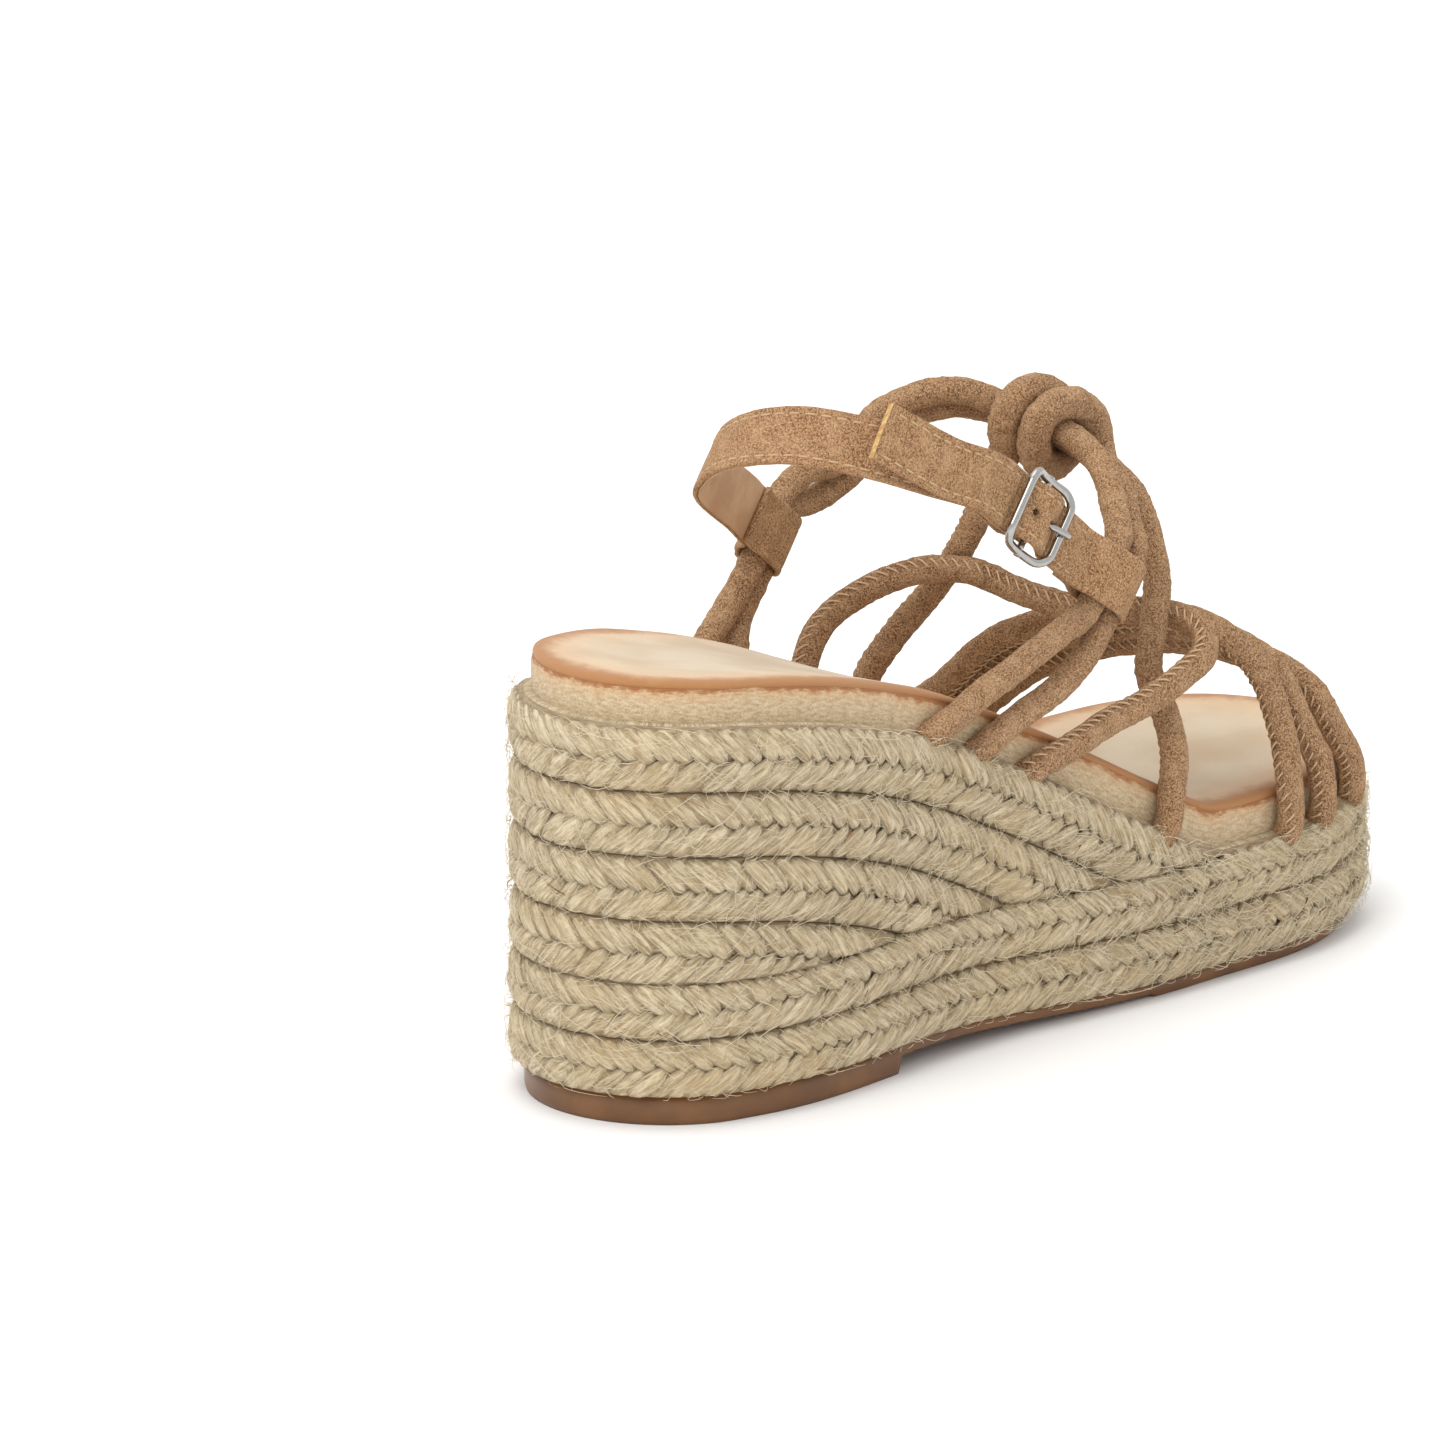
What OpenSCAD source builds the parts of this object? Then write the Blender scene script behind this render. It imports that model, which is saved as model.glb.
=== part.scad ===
// Espadrille wedge sandal for a right foot: rubber outsole, braid-wrapped wedge, soft footbed,
// seven rolled cords tied over the foot, and a heel strap closed by a centre-bar buckle.
// The toe points to +Y, the outer side of the foot to +X, and the floor is Z = 0.
// The origin is on the floor, under the centre of the heel's round back.

/* [Overall] */
// Length of the sandal from the back of the heel to the toe
length = 243; // [220:1:290]
// Radius of the round back of the heel
heel_radius = 33; // [28:0.5:38]
// Radius of the round toe
toe_radius = 40; // [36:0.5:44]
// Sideways shift of the toe towards the outer side
toe_shift = 1; // [-6:0.5:3]
// Half width at the ball, on the outer side
ball_outer = 41.5; // [36:0.5:48]
// Half width at the ball, on the inner side
ball_inner = 41.5; // [36:0.5:48]
// Distance from the toe back to the widest place of the ball, on the outer side
ball_outer_run = 78; // [65:1:90]
// Distance from the toe back to the widest place of the ball, on the inner side
ball_inner_run = 65; // [55:1:80]
// Half width at the waist, on the outer side
waist_outer = 35; // [30:0.5:40]
// Half width at the waist, on the inner side
waist_inner = 31; // [27:0.5:38]

/* [Wedge and platform] */
// Height of the top of the braids at the back of the heel
heel_top = 88.5; // [70:0.5:110]
// Distance from the heel back at which the wedge has run down to the platform
wedge_run = 168; // [140:1:190]
// Height of one braid row of the platform
platform_row = 12.6; // [10:0.1:15]
// Number of braid rows stacked above the platform at the heel
wedge_rows = 4; // [4:1:4]
// Thickness of the braids round the core
braid_depth = 5; // [4:0.1:7]

/* [Outsole] */
// Thickness of the heel pad
heel_pad = 6.5; // [5:0.1:8]
// Thickness of the rubber under the waist
waist_rubber = 2.7; // [2:0.1:4]
// Thickness of the rubber under the forepart
fore_rubber = 3.4; // [3:0.1:5]
// Length of the heel pad
heel_pad_run = 71; // [50:1:90]
// Distance from the heel back at which the forepart tread starts
tread_start = 150; // [130:1:170]
// Height by which the toe curves up
toe_spring = 3; // [0:0.5:8]
// Set-back of the rubber's edge from the braids
rubber_inset = 2.5; // [1:0.5:5]

/* [Footbed] */
// Set-back of the footbed's side from the braids
footbed_inset = 4.5; // [3:0.1:7]
// Thickness of the insole board
board_thick = 2; // [1:0.1:3]
// Thickness of the foam
foam_thick = 6; // [3:0.1:9]
// Thickness of the top cover
cover_thick = 1.2; // [0.8:0.1:2]
// Thickness of the fabric on the footbed's side
wrap_thick = 1; // [0.6:0.1:2]

/* [Cords] */
// Diameter of the rolled cords
cord_dia = 6; // [5:0.1:6.2]
// Clearance between a cord and the footbed's side
cord_gap = 0.5; // [0.1:0.1:1]

/* [Straps] */
// Width of the heel strap and of the billet
strap_width = 13; // [10:0.5:13.2]
// Thickness of the suede
suede_thick = 1.2; // [0.8:0.1:1.4]
// Thickness of the lining
lining_thick = 0.6; // [0.4:0.1:0.8]
// Diameter of the spare hole in the billet
hole_dia = 1.8; // [1.5:0.1:2.2]

/* [Buckle] */
// Radius of the frame's wire
wire_radius = 1; // [0.8:0.1:1.2]
// Radius of the centre bar
bar_radius = 0.8; // [0.6:0.05:0.9]
// Distance from the centre bar to the front and rear bars
bar_reach = 8; // [6.6:0.1:9]
// Clearance between the strap's edge and the frame
side_gap = 1; // [0.4:0.1:1.4]
// Radius of the prong
prong_radius = 0.7; // [0.5:0.05:0.8]
// Running clearance round the centre bar
bar_gap = 0.08; // [0.05:0.01:0.1]

/* [Hidden] */
$fn = 48;

jute = "burlywood";
suede = "peru";
lining = "tan";
cord_r = cord_dia / 2;
wall_height = board_thick + foam_thick;
far = 400;

// ---- Curves ----

function unit(v) = v / norm(v);

// Direction of a smooth curve at b, between its neighbours a and c
function slope_at(a, b, c) = let (p = norm(b - a), q = norm(c - b))
    p == 0 ? (c - b) / q : q == 0 ? (b - a) / p : ((b - a) * q / p + (c - b) * p / q) / (p + q);

// Smooth curve through four points, at t from 0 to 1 between the middle two
function knot_curve(a, b, c, d, t) = let (h = norm(c - b), k = t * t * (3 - 2 * t))
    (1 - k) * b + k * c + h * t * (1 - t) * ((1 - t) * slope_at(a, b, c) - t * slope_at(b, c, d));

// Open smooth curve through the points, with n steps from one to the next
function smooth(p, n) = concat(
    [for (i = [0 : len(p) - 2], k = [0 : n - 1])
        knot_curve(p[max(i - 1, 0)], p[i], p[i + 1], p[min(i + 2, len(p) - 1)], k / n)],
    [p[len(p) - 1]]);

// Closed smooth curve through the points
function smooth_loop(p, n) = let (m = len(p))
    [for (i = [0 : m - 1], k = [0 : n - 1])
        knot_curve(p[(i + m - 1) % m], p[i], p[(i + 1) % m], p[(i + 2) % m], k / n)];

function arc(x, y, r, from, to, n) =
    [for (i = [0 : n]) let (a = from + (to - from) * i / n) [x + r * cos(a), y + r * sin(a)]];

// Counter-clockwise outline moved inwards by d along its own normals
function inset(p, d) = let (m = len(p))
    [for (i = [0 : m - 1])
        let (t = unit(p[(i + 1) % m] - p[(i + m - 1) % m])) p[i] + d * [-t.y, t.x]];

// ---- Plan outline; the second number is the distance from the heel back ----

waist_at = 100;
ball_outer_at = length - ball_outer_run;
ball_inner_at = length - ball_inner_run;
plan = smooth_loop(concat(
    arc(0, heel_radius, heel_radius, 190, 350, 8),
    [[waist_outer, waist_at], [ball_outer, ball_outer_at]],
    arc(toe_shift, length - toe_radius, toe_radius, 14, 160, 7),
    [[-ball_inner, ball_inner_at], [-waist_inner, waist_at]]), 3);

cord_line = inset(plan, footbed_inset - cord_r - cord_gap);

// Where a cord lies against the footbed's side: side is 1 for outer and -1 for inner
function beside(side, s) = side * lookup(s, [for (p = cord_line) if (side * p.x > 0) [p.y, side * p.x]]);

below = 50;
module prism(outline) translate([0, -heel_radius, -below])
    linear_extrude(height = far) polygon(outline);

// Slab between two heights that change along the sandal, from one distance to another
module slab(low, high) translate([far / 2, -heel_radius, 0]) rotate([90, 0, -90])
    linear_extrude(height = far) mirror([1, 0])
        polygon(concat(low, [for (i = [len(high) - 1 : -1 : 0]) high[i]]));

// ---- Side profile ----

function ease(t) = let (c = min(max(t, 0), 1)) c * c * (3 - 2 * c);
pad_ramp = 85;
spring_run = 60;
function braid_base(s) = fore_rubber + (heel_pad - fore_rubber) * (1 - ease((s - heel_pad_run) / pad_ramp))
    + toe_spring * pow(max(0, s - length + spring_run) / spring_run, 2);
function platform_mid(s) = braid_base(s) + platform_row;
function platform_top(s) = braid_base(s) + 2 * platform_row;

// Height of the wedge above the platform: a quarter wave that runs out softly
soft_end = 0.06;
tip_cut = 0.5;
wedge_height = heel_top - platform_top(0);
function quarter_wave(s) = let (c = cos(min(90 * s / wedge_run, 180)))
    (c + sqrt(c * c + soft_end * soft_end)) / 2;
function wedge_top(s) = platform_top(s) + max(0, wedge_height * quarter_wave(max(s, 0)) - tip_cut);
function tilt(s) = let (k = (wedge_top(s + 1) - wedge_top(s - 1)) / 2) sqrt(1 + k * k);

// Top of wedge row k, counted upwards from the platform; rows are equally thick across their run
row_pitch = wedge_height / wedge_rows;
function row_line(k, s) = wedge_top(s) - (wedge_rows - k) * row_pitch * tilt(s);
function row_top(k, s) = max(platform_top(s), row_line(k, s));
function row_end(k, a = 20, b = wedge_run + 30, n = 24) = n == 0 ? (a + b) / 2
    : let (m = (a + b) / 2) row_line(k, m) > platform_top(m) + 0.01
        ? row_end(k, m, b, n - 1) : row_end(k, a, m, n - 1);

step_s = 7;
function stations(from, to) = let (n = ceil((to - from) / step_s))
    [for (i = [0 : n]) from + (to - from) * i / n];
whole = stations(-6, length + 6);

function line_of(list, level) = [for (s = list)
    [s, level == "base" ? braid_base(s) : level == "mid" ? platform_mid(s)
        : level == "platform" ? platform_top(s) : wedge_top(s)]];

// Line at a set depth above the wedge's top, measured square to it
function above(d) = [for (s = whole) [s, wedge_top(s) + d * tilt(s)]];

// ---- Sole unit ----

module outsole() color("sienna") {
    pad_face = 1.2;
    pad_end = stations(-6, heel_pad_run);
    waist = stations(heel_pad_run + pad_face, tread_start);
    tread = stations(tread_start + pad_face, length + 6);
    low = concat(
        [for (s = pad_end) [s, braid_base(s) - heel_pad]],
        [for (s = waist) [s, braid_base(s) - waist_rubber]],
        [for (s = tread) [s, braid_base(s) - fore_rubber]]);
    intersection() {
        prism(inset(plan, rubber_inset));
        slab(low, line_of(whole, "base"));
    }
}

module wedge_core() color("wheat") intersection() {
    prism(inset(plan, braid_depth));
    slab(line_of(whole, "base"), line_of(whole, "top"));
}

module braid_ring() difference() {
    prism(plan);
    prism(inset(plan, braid_depth));
}

module platform_braid_lower() color(jute) intersection() {
    braid_ring();
    slab(line_of(whole, "base"), line_of(whole, "mid"));
}

module platform_braid_upper() color(jute) intersection() {
    braid_ring();
    slab(line_of(whole, "mid"), line_of(whole, "platform"));
}

// Wedge row k, from the back of the heel to the point where it meets the platform
module wedge_braid(k) {
    reach = stations(-6, row_end(k));
    last = len(reach) - 1;
    low = [for (i = [0 : last - 1]) [reach[i], row_top(k - 1, reach[i])]];
    high = [for (i = [0 : last]) [reach[i], i == last ? platform_top(reach[i]) : row_top(k, reach[i])]];
    color(jute) intersection() {
        braid_ring();
        slab(low, high);
    }
}

module wedge_braid_1() wedge_braid(1);
module wedge_braid_2() wedge_braid(2);
module wedge_braid_3() wedge_braid(3);
module wedge_braid_4() wedge_braid(4);

// ---- Footbed ----

module footbed_layer(outline, from, to) intersection() {
    prism(outline);
    slab(above(from), above(to));
}

module insole_board() color("saddlebrown")
    footbed_layer(inset(plan, footbed_inset + wrap_thick), 0, board_thick);
module footbed_foam() color("beige")
    footbed_layer(inset(plan, footbed_inset + wrap_thick), board_thick, wall_height);
module footbed_top_cover() color("bisque")
    footbed_layer(inset(plan, footbed_inset), wall_height, wall_height + cover_thick);
module footbed_side_wrap() color("wheat") difference() {
    footbed_layer(inset(plan, footbed_inset), 0, wall_height);
    prism(inset(plan, footbed_inset + wrap_thick));
}

// ---- Places over the foot: x, distance from the heel back, height above the wedge's top ----

function over(x, s, h) = [x, s - heel_radius, wedge_top(s) + h];
function against(side, s, h) = [beside(side, s), s - heel_radius, wedge_top(s) + h];

// Outer strap frame: origin at the centre bar, u along the strap towards the toe, w outwards
buckle_at = over(35, 113, 57);
buckle_pitch = 37.7;
u_out = [0, cos(buckle_pitch), -sin(buckle_pitch)];
w_out = [1, 0, 0];
v_out = cross(u_out, w_out);

// Inner strap frame: origin at the inner loop, u along the strap towards the heel, w outwards
inner_loop_at = over(-33, 105, 38);
u_in = unit([0.33, -0.76, 0.56]);
v_in = unit([0, -0.6, -0.8] + 0.008 * u_in);
w_in = cross(v_in, u_in);

function out_frame(u, w) = buckle_at + u * u_out + w * w_out;
module frame_of(o, u, w) {
    v = cross(u, w);
    multmatrix([[u.x, w.x, v.x, o.x], [u.y, w.y, v.y, o.y], [u.z, w.z, v.z, o.z]]) children();
}
module outer_frame() frame_of(buckle_at, u_out, w_out) children();

// Strap section in its frame: the suede outside, the lining inside, and the face between them
band_thick = suede_thick + lining_thick;
lay_gap = 0.2;
glue_line = 0.12;
bar_drop = -0.6;
frame_rise = 1.6;
frame_tilt = 4;
rock = bar_reach * sin(frame_tilt);
chape = 0.9;
chape_run = 11;
chape_radius = bar_radius + bar_gap + chape;
billet_low = frame_rise - wire_radius - lay_gap - rock - suede_thick;
billet_high = bar_drop + chape_radius + lay_gap + lining_thick;
billet_mid = billet_low + (suede_thick - lining_thick) / 2;
strap_low = billet_low - lining_thick - lay_gap - suede_thick;

// Loops round the cord pair, and the swing axis through their stitched necks
loop_gap = 0.3;
loop_inner = cord_dia + loop_gap;
loop_reach = 33;
neck = 12.3;
neck_radius = strap_width / 2 + 0.2;
swing_gap = 0.3;
outer_loop_at = out_frame(loop_reach, billet_mid);
outer_neck_at = out_frame(loop_reach - neck, billet_mid);
inner_neck_at = inner_loop_at + neck * u_in;
swing_axis = unit(outer_neck_at - inner_neck_at);

module swing_cylinder(at, r) translate(at)
    rotate([0, acos(swing_axis.z), atan2(swing_axis.y, swing_axis.x)])
        cylinder(r = r, h = 30, center = true);

module rounded_slot(half, r) {
    translate([half, 0]) circle(r);
    translate([-half, 0]) circle(r);
    square([2 * half, 2 * r], center = true);
}

// Loop of strap round the two cords; dir points from the cords to the neck
module loop_profile(dir) {
    difference() {
        rounded_slot(cord_r, loop_inner / 2 + suede_thick);
        rounded_slot(cord_r, loop_inner / 2);
    }
    from = cord_r + loop_inner / 2 + suede_thick / 2;
    translate([dir > 0 ? from : -from - neck, -band_thick / 2]) square([neck, band_thick]);
}

module strap_loop(at, u, w, dir, neck_at) {
    keep = cord_r + loop_inner / 2 + suede_thick + 0.5;
    intersection() {
        frame_of(at, u, w) linear_extrude(height = strap_width, center = true) loop_profile(dir);
        union() {
            frame_of(at, u, w) translate([-keep, -keep, -strap_width])
                cube([2 * keep, 2 * keep, 2 * strap_width]);
            swing_cylinder(neck_at, neck_radius);
        }
    }
}

module lateral_loop() color(suede) strap_loop(outer_loop_at, u_out, w_out, -1, outer_neck_at);
module medial_loop() color(suede) strap_loop(inner_loop_at, u_in, w_in, 1, inner_neck_at);

// ---- Cords ----

// Solid through rings of points with the same count
module skin(rings) {
    n = len(rings[0]);
    m = len(rings);
    pts = [for (r = rings, p = r) p];
    sides = [for (i = [0 : m - 2], j = [0 : n - 1]) let (k = (j + 1) % n, a = i * n, b = a + n)
        each [[a + j, b + j, b + k], [a + j, b + k, a + k]]];
    polyhedron(points = pts, convexity = 8, faces = concat(sides,
        [[for (j = [0 : n - 1]) j]], [[for (j = [n - 1 : -1 : 0]) (m - 1) * n + j]]));
}

function tangents(p) = [for (i = [0 : len(p) - 1]) unit(p[min(i + 1, len(p) - 1)] - p[max(i - 1, 0)])];

// Normals carried along the route without twist
function carried(t, i = 0, last = [0.31, 0.17, 0.93]) = i == len(t) ? []
    : let (n = unit(last - (last * t[i]) * t[i])) concat([n], carried(t, i + 1, n));

module cord(route, steps = 3, sides = 10) {
    p = smooth(route, steps);
    t = tangents(p);
    n = carried(t);
    color(suede) skin([for (i = [0 : len(p) - 1]) let (b = cross(t[i], n[i]))
        [for (j = [0 : sides - 1]) let (a = 360 * j / sides) p[i] + cord_r * (cos(a) * n[i] + sin(a) * b)]]);
}

// The two rear cords run side by side; across points from the back one to the front one
pair_half = cord_r + 0.2;
across = unit([-0.1, 0.8, -0.59]);
loop_half = strap_width / 2 + 2;
pair_top = [over(28, 150, 68), over(17, 157, 79.5), over(7, 158.4, 84), over(-7, 155.5, 86.5),
    over(-16.5, 147, 85.5), over(-26, 135.5, 75), over(-31, 126.5, 60)];
// The pair's middle line moved sideways, square to its own run
function beside_pair(k) = let (t = tangents(pair_top))
    [for (i = [0 : len(pair_top) - 1]) pair_top[i] + k * unit(across - (across * t[i]) * t[i])];
function through(at, side_dir, way) = [for (k = [-1, 0, 1]) at + side_dir + k * loop_half * way];

rear_back_route = concat(
    [against(1, 84, 3.4), against(1, 87.5, 5.6), against(1, 94, 11), over(34.8, 106, 21), over(35.3, 121, 34)],
    through(outer_loop_at, -pair_half * u_out, -v_out),
    beside_pair(-pair_half), [over(-31.5, 117, 57)],
    through(inner_loop_at, pair_half * u_in, v_in),
    [over(-32, 89, 17), against(-1, 81, 8), against(-1, 79, 1.5)]);

rear_front_route = concat(
    [against(1, 99.5, 3.5), against(1, 103, 6.6), against(1, 108, 11.2), over(36, 119, 21), over(35.5, 129.5, 32)],
    through(outer_loop_at, pair_half * u_out, -v_out),
    beside_pair(pair_half), [over(-33.5, 119, 50)],
    through(inner_loop_at, -pair_half * u_in, v_in),
    [over(-33, 95, 17), against(-1, 90, 9), against(-1, 88, 1.5)]);

// The knot cord takes nearly two turns round the pair
knot_at = over(0, 157, 85);
knot_along = unit([-0.95, -0.2, 0.25]);
knot_over = unit(cross(across, knot_along));
turn_wide = 2 * cord_r + 4;
turn_high = cord_r + 4.2;
function turn(a) = knot_at + across * turn_wide * cos(a) + knot_over * turn_high * sin(a)
    + knot_along * (-8 + 12 * (a - 40) / 580);
knot_route = concat(
    [against(1, 152, 1.5), against(1, 153, 8), over(39, 155, 19), over(36, 155.5, 27), over(32, 155, 35),
        over(29.5, 159, 45.5), over(27, 163.5, 56), over(22, 167, 66), over(15, 168.5, 76),
        over(10, 166.5, 80.5)],
    [for (a = [40 : 29 : 620]) turn(a)],
    [knot_at + 6 * knot_along - 13 * knot_over + 2 * across, over(-14, 148, 54), over(-20, 146.5, 43.5),
        over(-28.5, 141.5, 28), over(-34.8, 139.5, 16), against(-1, 140, 8), against(-1, 140, 1.5)]);

arch_route = [against(1, 115.5, 3.4), against(1, 119, 6), against(1, 126, 11.6),
    over(37, 134, 18), over(39, 144, 26), over(41, 155, 36), over(40.5, 163, 43),
    over(36.5, 167, 48.3), over(30, 167.5, 50), over(22, 164, 49.5), over(10, 156, 46),
    over(0, 150, 46), over(-10, 144, 47), over(-18, 138, 43.6), over(-26, 128, 34), over(-31, 120, 23),
    against(-1, 114, 9), against(-1, 112, 1.5)];

toe_rear_route = [against(1, 191, 1.5), against(1, 191, 10), over(39.5, 190.5, 24), over(36, 187, 37),
    over(31, 180, 45.5), over(24, 173.5, 49), over(16, 168.2, 48.3), over(2, 163.5, 44.5),
    over(-14, 159, 35.5), over(-27, 157, 22.5), against(-1, 157, 11), against(-1, 157, 1.5)];
toe_middle_route = [against(1, 203, 1.5), against(1, 202.5, 11), over(37.5, 199, 23), over(33, 194, 36),
    over(27, 187, 42), over(18, 177.5, 45), over(3, 169, 42), over(-13.5, 165, 34),
    over(-27, 163.5, 21), against(-1, 164.5, 10), against(-1, 165, 1.5)];
toe_front_route = [against(1, 219, 1.5), against(1, 218, 8), over(36.8, 212, 17.5), over(35, 206, 27.5),
    over(30.5, 202, 32.5), over(25.5, 194.5, 36.5), over(17.5, 185, 40), over(3.5, 175.5, 38.5),
    over(-13, 172, 31), over(-28.5, 171, 19), against(-1, 172.5, 10), against(-1, 173, 1.5)];

module rear_cord_back() cord(rear_back_route);
module rear_cord_front() cord(rear_front_route);
module knot_cord() cord(knot_route, 2);
module arch_cord() cord(arch_route);
module toe_cord_rear() cord(toe_rear_route);
module toe_cord_middle() cord(toe_middle_route);
module toe_cord_front() cord(toe_front_route);

// ---- Heel strap ----

strap_up = [0, 0.6, 0.8];
heel_steps = 8;
heel_route = smooth(concat(
    [inner_neck_at - 2 * u_in, inner_neck_at + 6 * u_in],
    [over(-19, 69, 49), over(-12, 64.5, 53), over(-2, 62, 57), over(9, 64.5, 60), over(22, 73, 60.5),
        over(28.5, 86, 60)],
    [for (p = [[-14, strap_low], [-6.5, strap_low], [-3, strap_low + 0.5], [-1.2, bar_drop - 1.6]])
        out_frame(p.x, p.y)]), heel_steps);

// Flat band along a route, between two heights off the face that the route follows; a route that
// runs towards the buckle counts them inwards, and one that runs away from it outwards
module band(route, low, high, half) {
    t = tangents(route);
    skin([for (i = [0 : len(route) - 1])
        let (w = unit(strap_up - (strap_up * t[i]) * t[i]), n = cross(w, t[i]))
        [for (c = [[-half, low], [-half, high], [half, high], [half, low]]) route[i] + c.x * w + c.y * n]]);
}

function part_of(list, from, to) = [for (i = [from : to]) list[i]];

module heel_strap() color(suede) difference() {
    band(part_of(heel_route, 0, len(heel_route) - 1 - heel_steps), -suede_thick, 0, strap_width / 2);
    swing_cylinder(inner_neck_at, neck_radius + swing_gap);
}

// Fold that holds the centre bar, stitched under the heel strap's end
tail_top = strap_low - lining_thick - glue_line;
module buckle_chape() color(suede) outer_frame() difference() {
    union() {
        translate([0, bar_drop]) cylinder(r = chape_radius, h = strap_width, center = true);
        translate([-chape_run, tail_top - chape, -strap_width / 2])
            cube([chape_run - 1, chape, strap_width]);
        linear_extrude(height = strap_width, center = true) polygon([
            [-3.2, tail_top - chape], [-0.5, bar_drop - chape_radius + 0.05],
            [-1.6, bar_drop - 0.8], [-3.2, tail_top]]);
    }
    translate([0, bar_drop]) cylinder(r = bar_radius + bar_gap, h = 2 * strap_width, center = true);
    translate([-2.6, -far / 2, -slot_half]) cube([far, far, 2 * slot_half]);
}

module heel_strap_lining() color(lining) difference() {
    band(part_of(heel_route, 0, len(heel_route) - 1 - 2 * heel_steps),
        glue_line, lining_thick, strap_width / 2);
    swing_cylinder(inner_neck_at, neck_radius + swing_gap);
}

// ---- Billet: the short strap from the outer loop through the buckle ----

slot_half = prong_radius + 0.6;
tip_run = 2.4;
tip_pivot = -bar_reach - tip_run;
butt_gap = 0.15;
wave = smooth([[tip_pivot + butt_gap, billet_low], [-bar_reach, billet_low],
    [-bar_reach / 2, (billet_low + billet_high) / 2 + 0.3], [0, billet_high],
    [bar_reach / 2, (billet_low + billet_high) / 2 + 0.3], [bar_reach, billet_low],
    [bar_reach + 3, billet_low], [loop_reach - neck, billet_low]], 4);

// Strip of a profile curve between two heights above it
module strip(curve, low, high) {
    n = len(curve) - 1;
    side = [for (i = [0 : n]) let (t = unit(curve[min(i + 1, n)] - curve[max(i - 1, 0)])) [-t.y, t.x]];
    polygon(concat(
        [for (i = [0 : n]) curve[i] + low * side[i]],
        [for (i = [n : -1 : 0]) curve[i] + high * side[i]]));
}

module billet_layer(low, high) difference() {
    outer_frame() difference() {
        linear_extrude(height = strap_width, center = true) strip(wave, low, high);
        translate([0.3, -far / 2, -slot_half]) cube([bar_reach - 0.6, far, 2 * slot_half]);
        translate([-0.4 * bar_reach, 0]) rotate([90, 0, 0]) cylinder(d = hole_dia, h = 12, center = true);
    }
    swing_cylinder(outer_neck_at, neck_radius + swing_gap);
}

module billet() color(suede) billet_layer(0, suede_thick);
module billet_lining() color(lining) billet_layer(-lining_thick, -glue_line);

// Free end of the billet, which lies over the heel strap and stands a little off it at the end
tip_route = smooth([out_frame(tip_pivot, billet_low), out_frame(tip_pivot - 4, billet_low),
    over(32.2, 87, 60.5), over(27, 71, 65)], 4);

module billet_tip() color(suede) band(tip_route, 0, suede_thick, strap_width / 2);
module billet_tip_lining() color(lining) band(tip_route, -lining_thick, -glue_line, strap_width / 2);

// ---- Buckle ----

frame_half = strap_width / 2 + side_gap + wire_radius;
frame_sag = frame_rise - bar_drop;
frame_arc = (bar_reach * bar_reach + frame_sag * frame_sag) / (2 * frame_sag);
frame_swing = asin(bar_reach / frame_arc);

// Curved side of the frame, round the ends of the cross bars and through the centre bar
module frame_side() {
    o = [0, bar_drop + frame_arc];
    ends = 6;
    bend = 8;
    function at(a, r) = o + r * [sin(a), -cos(a)];
    function cap(a, turn) = [for (i = [0 : ends]) let (b = a + turn + 180 * i / ends)
        at(a, frame_arc) + wire_radius * [sin(b), -cos(b)]];
    right = [for (i = [1 : bend - 1]) at(frame_swing * (1 - 2 * i / bend), frame_arc - wire_radius)];
    left = [for (i = [1 : bend - 1]) at(frame_swing * (2 * i / bend - 1), frame_arc + wire_radius)];
    linear_extrude(height = 2 * wire_radius, center = true)
        polygon(concat(cap(frame_swing, 0), right, cap(-frame_swing, 180), left));
}

module buckle_frame() color("silver") outer_frame() difference() {
    union() {
        for (z = [-frame_half, frame_half]) translate([0, 0, z]) frame_side();
        for (u = [-bar_reach, bar_reach]) translate([u, frame_rise])
            cylinder(r = wire_radius - 0.05, h = 2 * frame_half, center = true);
    }
    translate([0, bar_drop]) cylinder(r = bar_radius, h = 3 * frame_half, center = true);
}

module buckle_centre_bar() color("gainsboro") outer_frame() translate([0, bar_drop])
    cylinder(r = bar_radius, h = 2 * frame_half + 2 * wire_radius, center = true);

prong_ring = bar_radius + bar_gap + 0.8;
prong_root = [0, bar_drop] + (prong_ring - 0.05) * [sin(48), cos(48)];
prong_rest = wire_radius + prong_radius + 0.06;
prong_end = 0.9;
module buckle_prong() color("silver") outer_frame() {
    run = [bar_reach, frame_rise] - prong_root;
    pitch = atan2(run.y, run.x) + asin(prong_rest / norm(run));
    difference() {
        translate([0, bar_drop]) cylinder(r = prong_ring, h = 2 * prong_radius + 0.3, center = true);
        translate([0, bar_drop]) cylinder(r = bar_radius + bar_gap, h = 10, center = true);
    }
    translate(prong_root) rotate([0, 90, 0]) rotate([-pitch, 0, 0])
        cylinder(r = prong_radius, h = sqrt(run * run - prong_rest * prong_rest) + prong_end);
}

outsole();
wedge_core();
platform_braid_lower();
platform_braid_upper();
wedge_braid_1();
wedge_braid_2();
wedge_braid_3();
wedge_braid_4();
insole_board();
footbed_foam();
footbed_top_cover();
footbed_side_wrap();
rear_cord_back();
rear_cord_front();
knot_cord();
arch_cord();
toe_cord_rear();
toe_cord_middle();
toe_cord_front();
medial_loop();
lateral_loop();
heel_strap();
heel_strap_lining();
buckle_chape();
billet();
billet_lining();
billet_tip();
billet_tip_lining();
buckle_frame();
buckle_centre_bar();
buckle_prong();
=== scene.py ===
"""Espadrille wedge sandal: plaited jute rows, suede cords and straps, burnished footbed."""

import math

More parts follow.
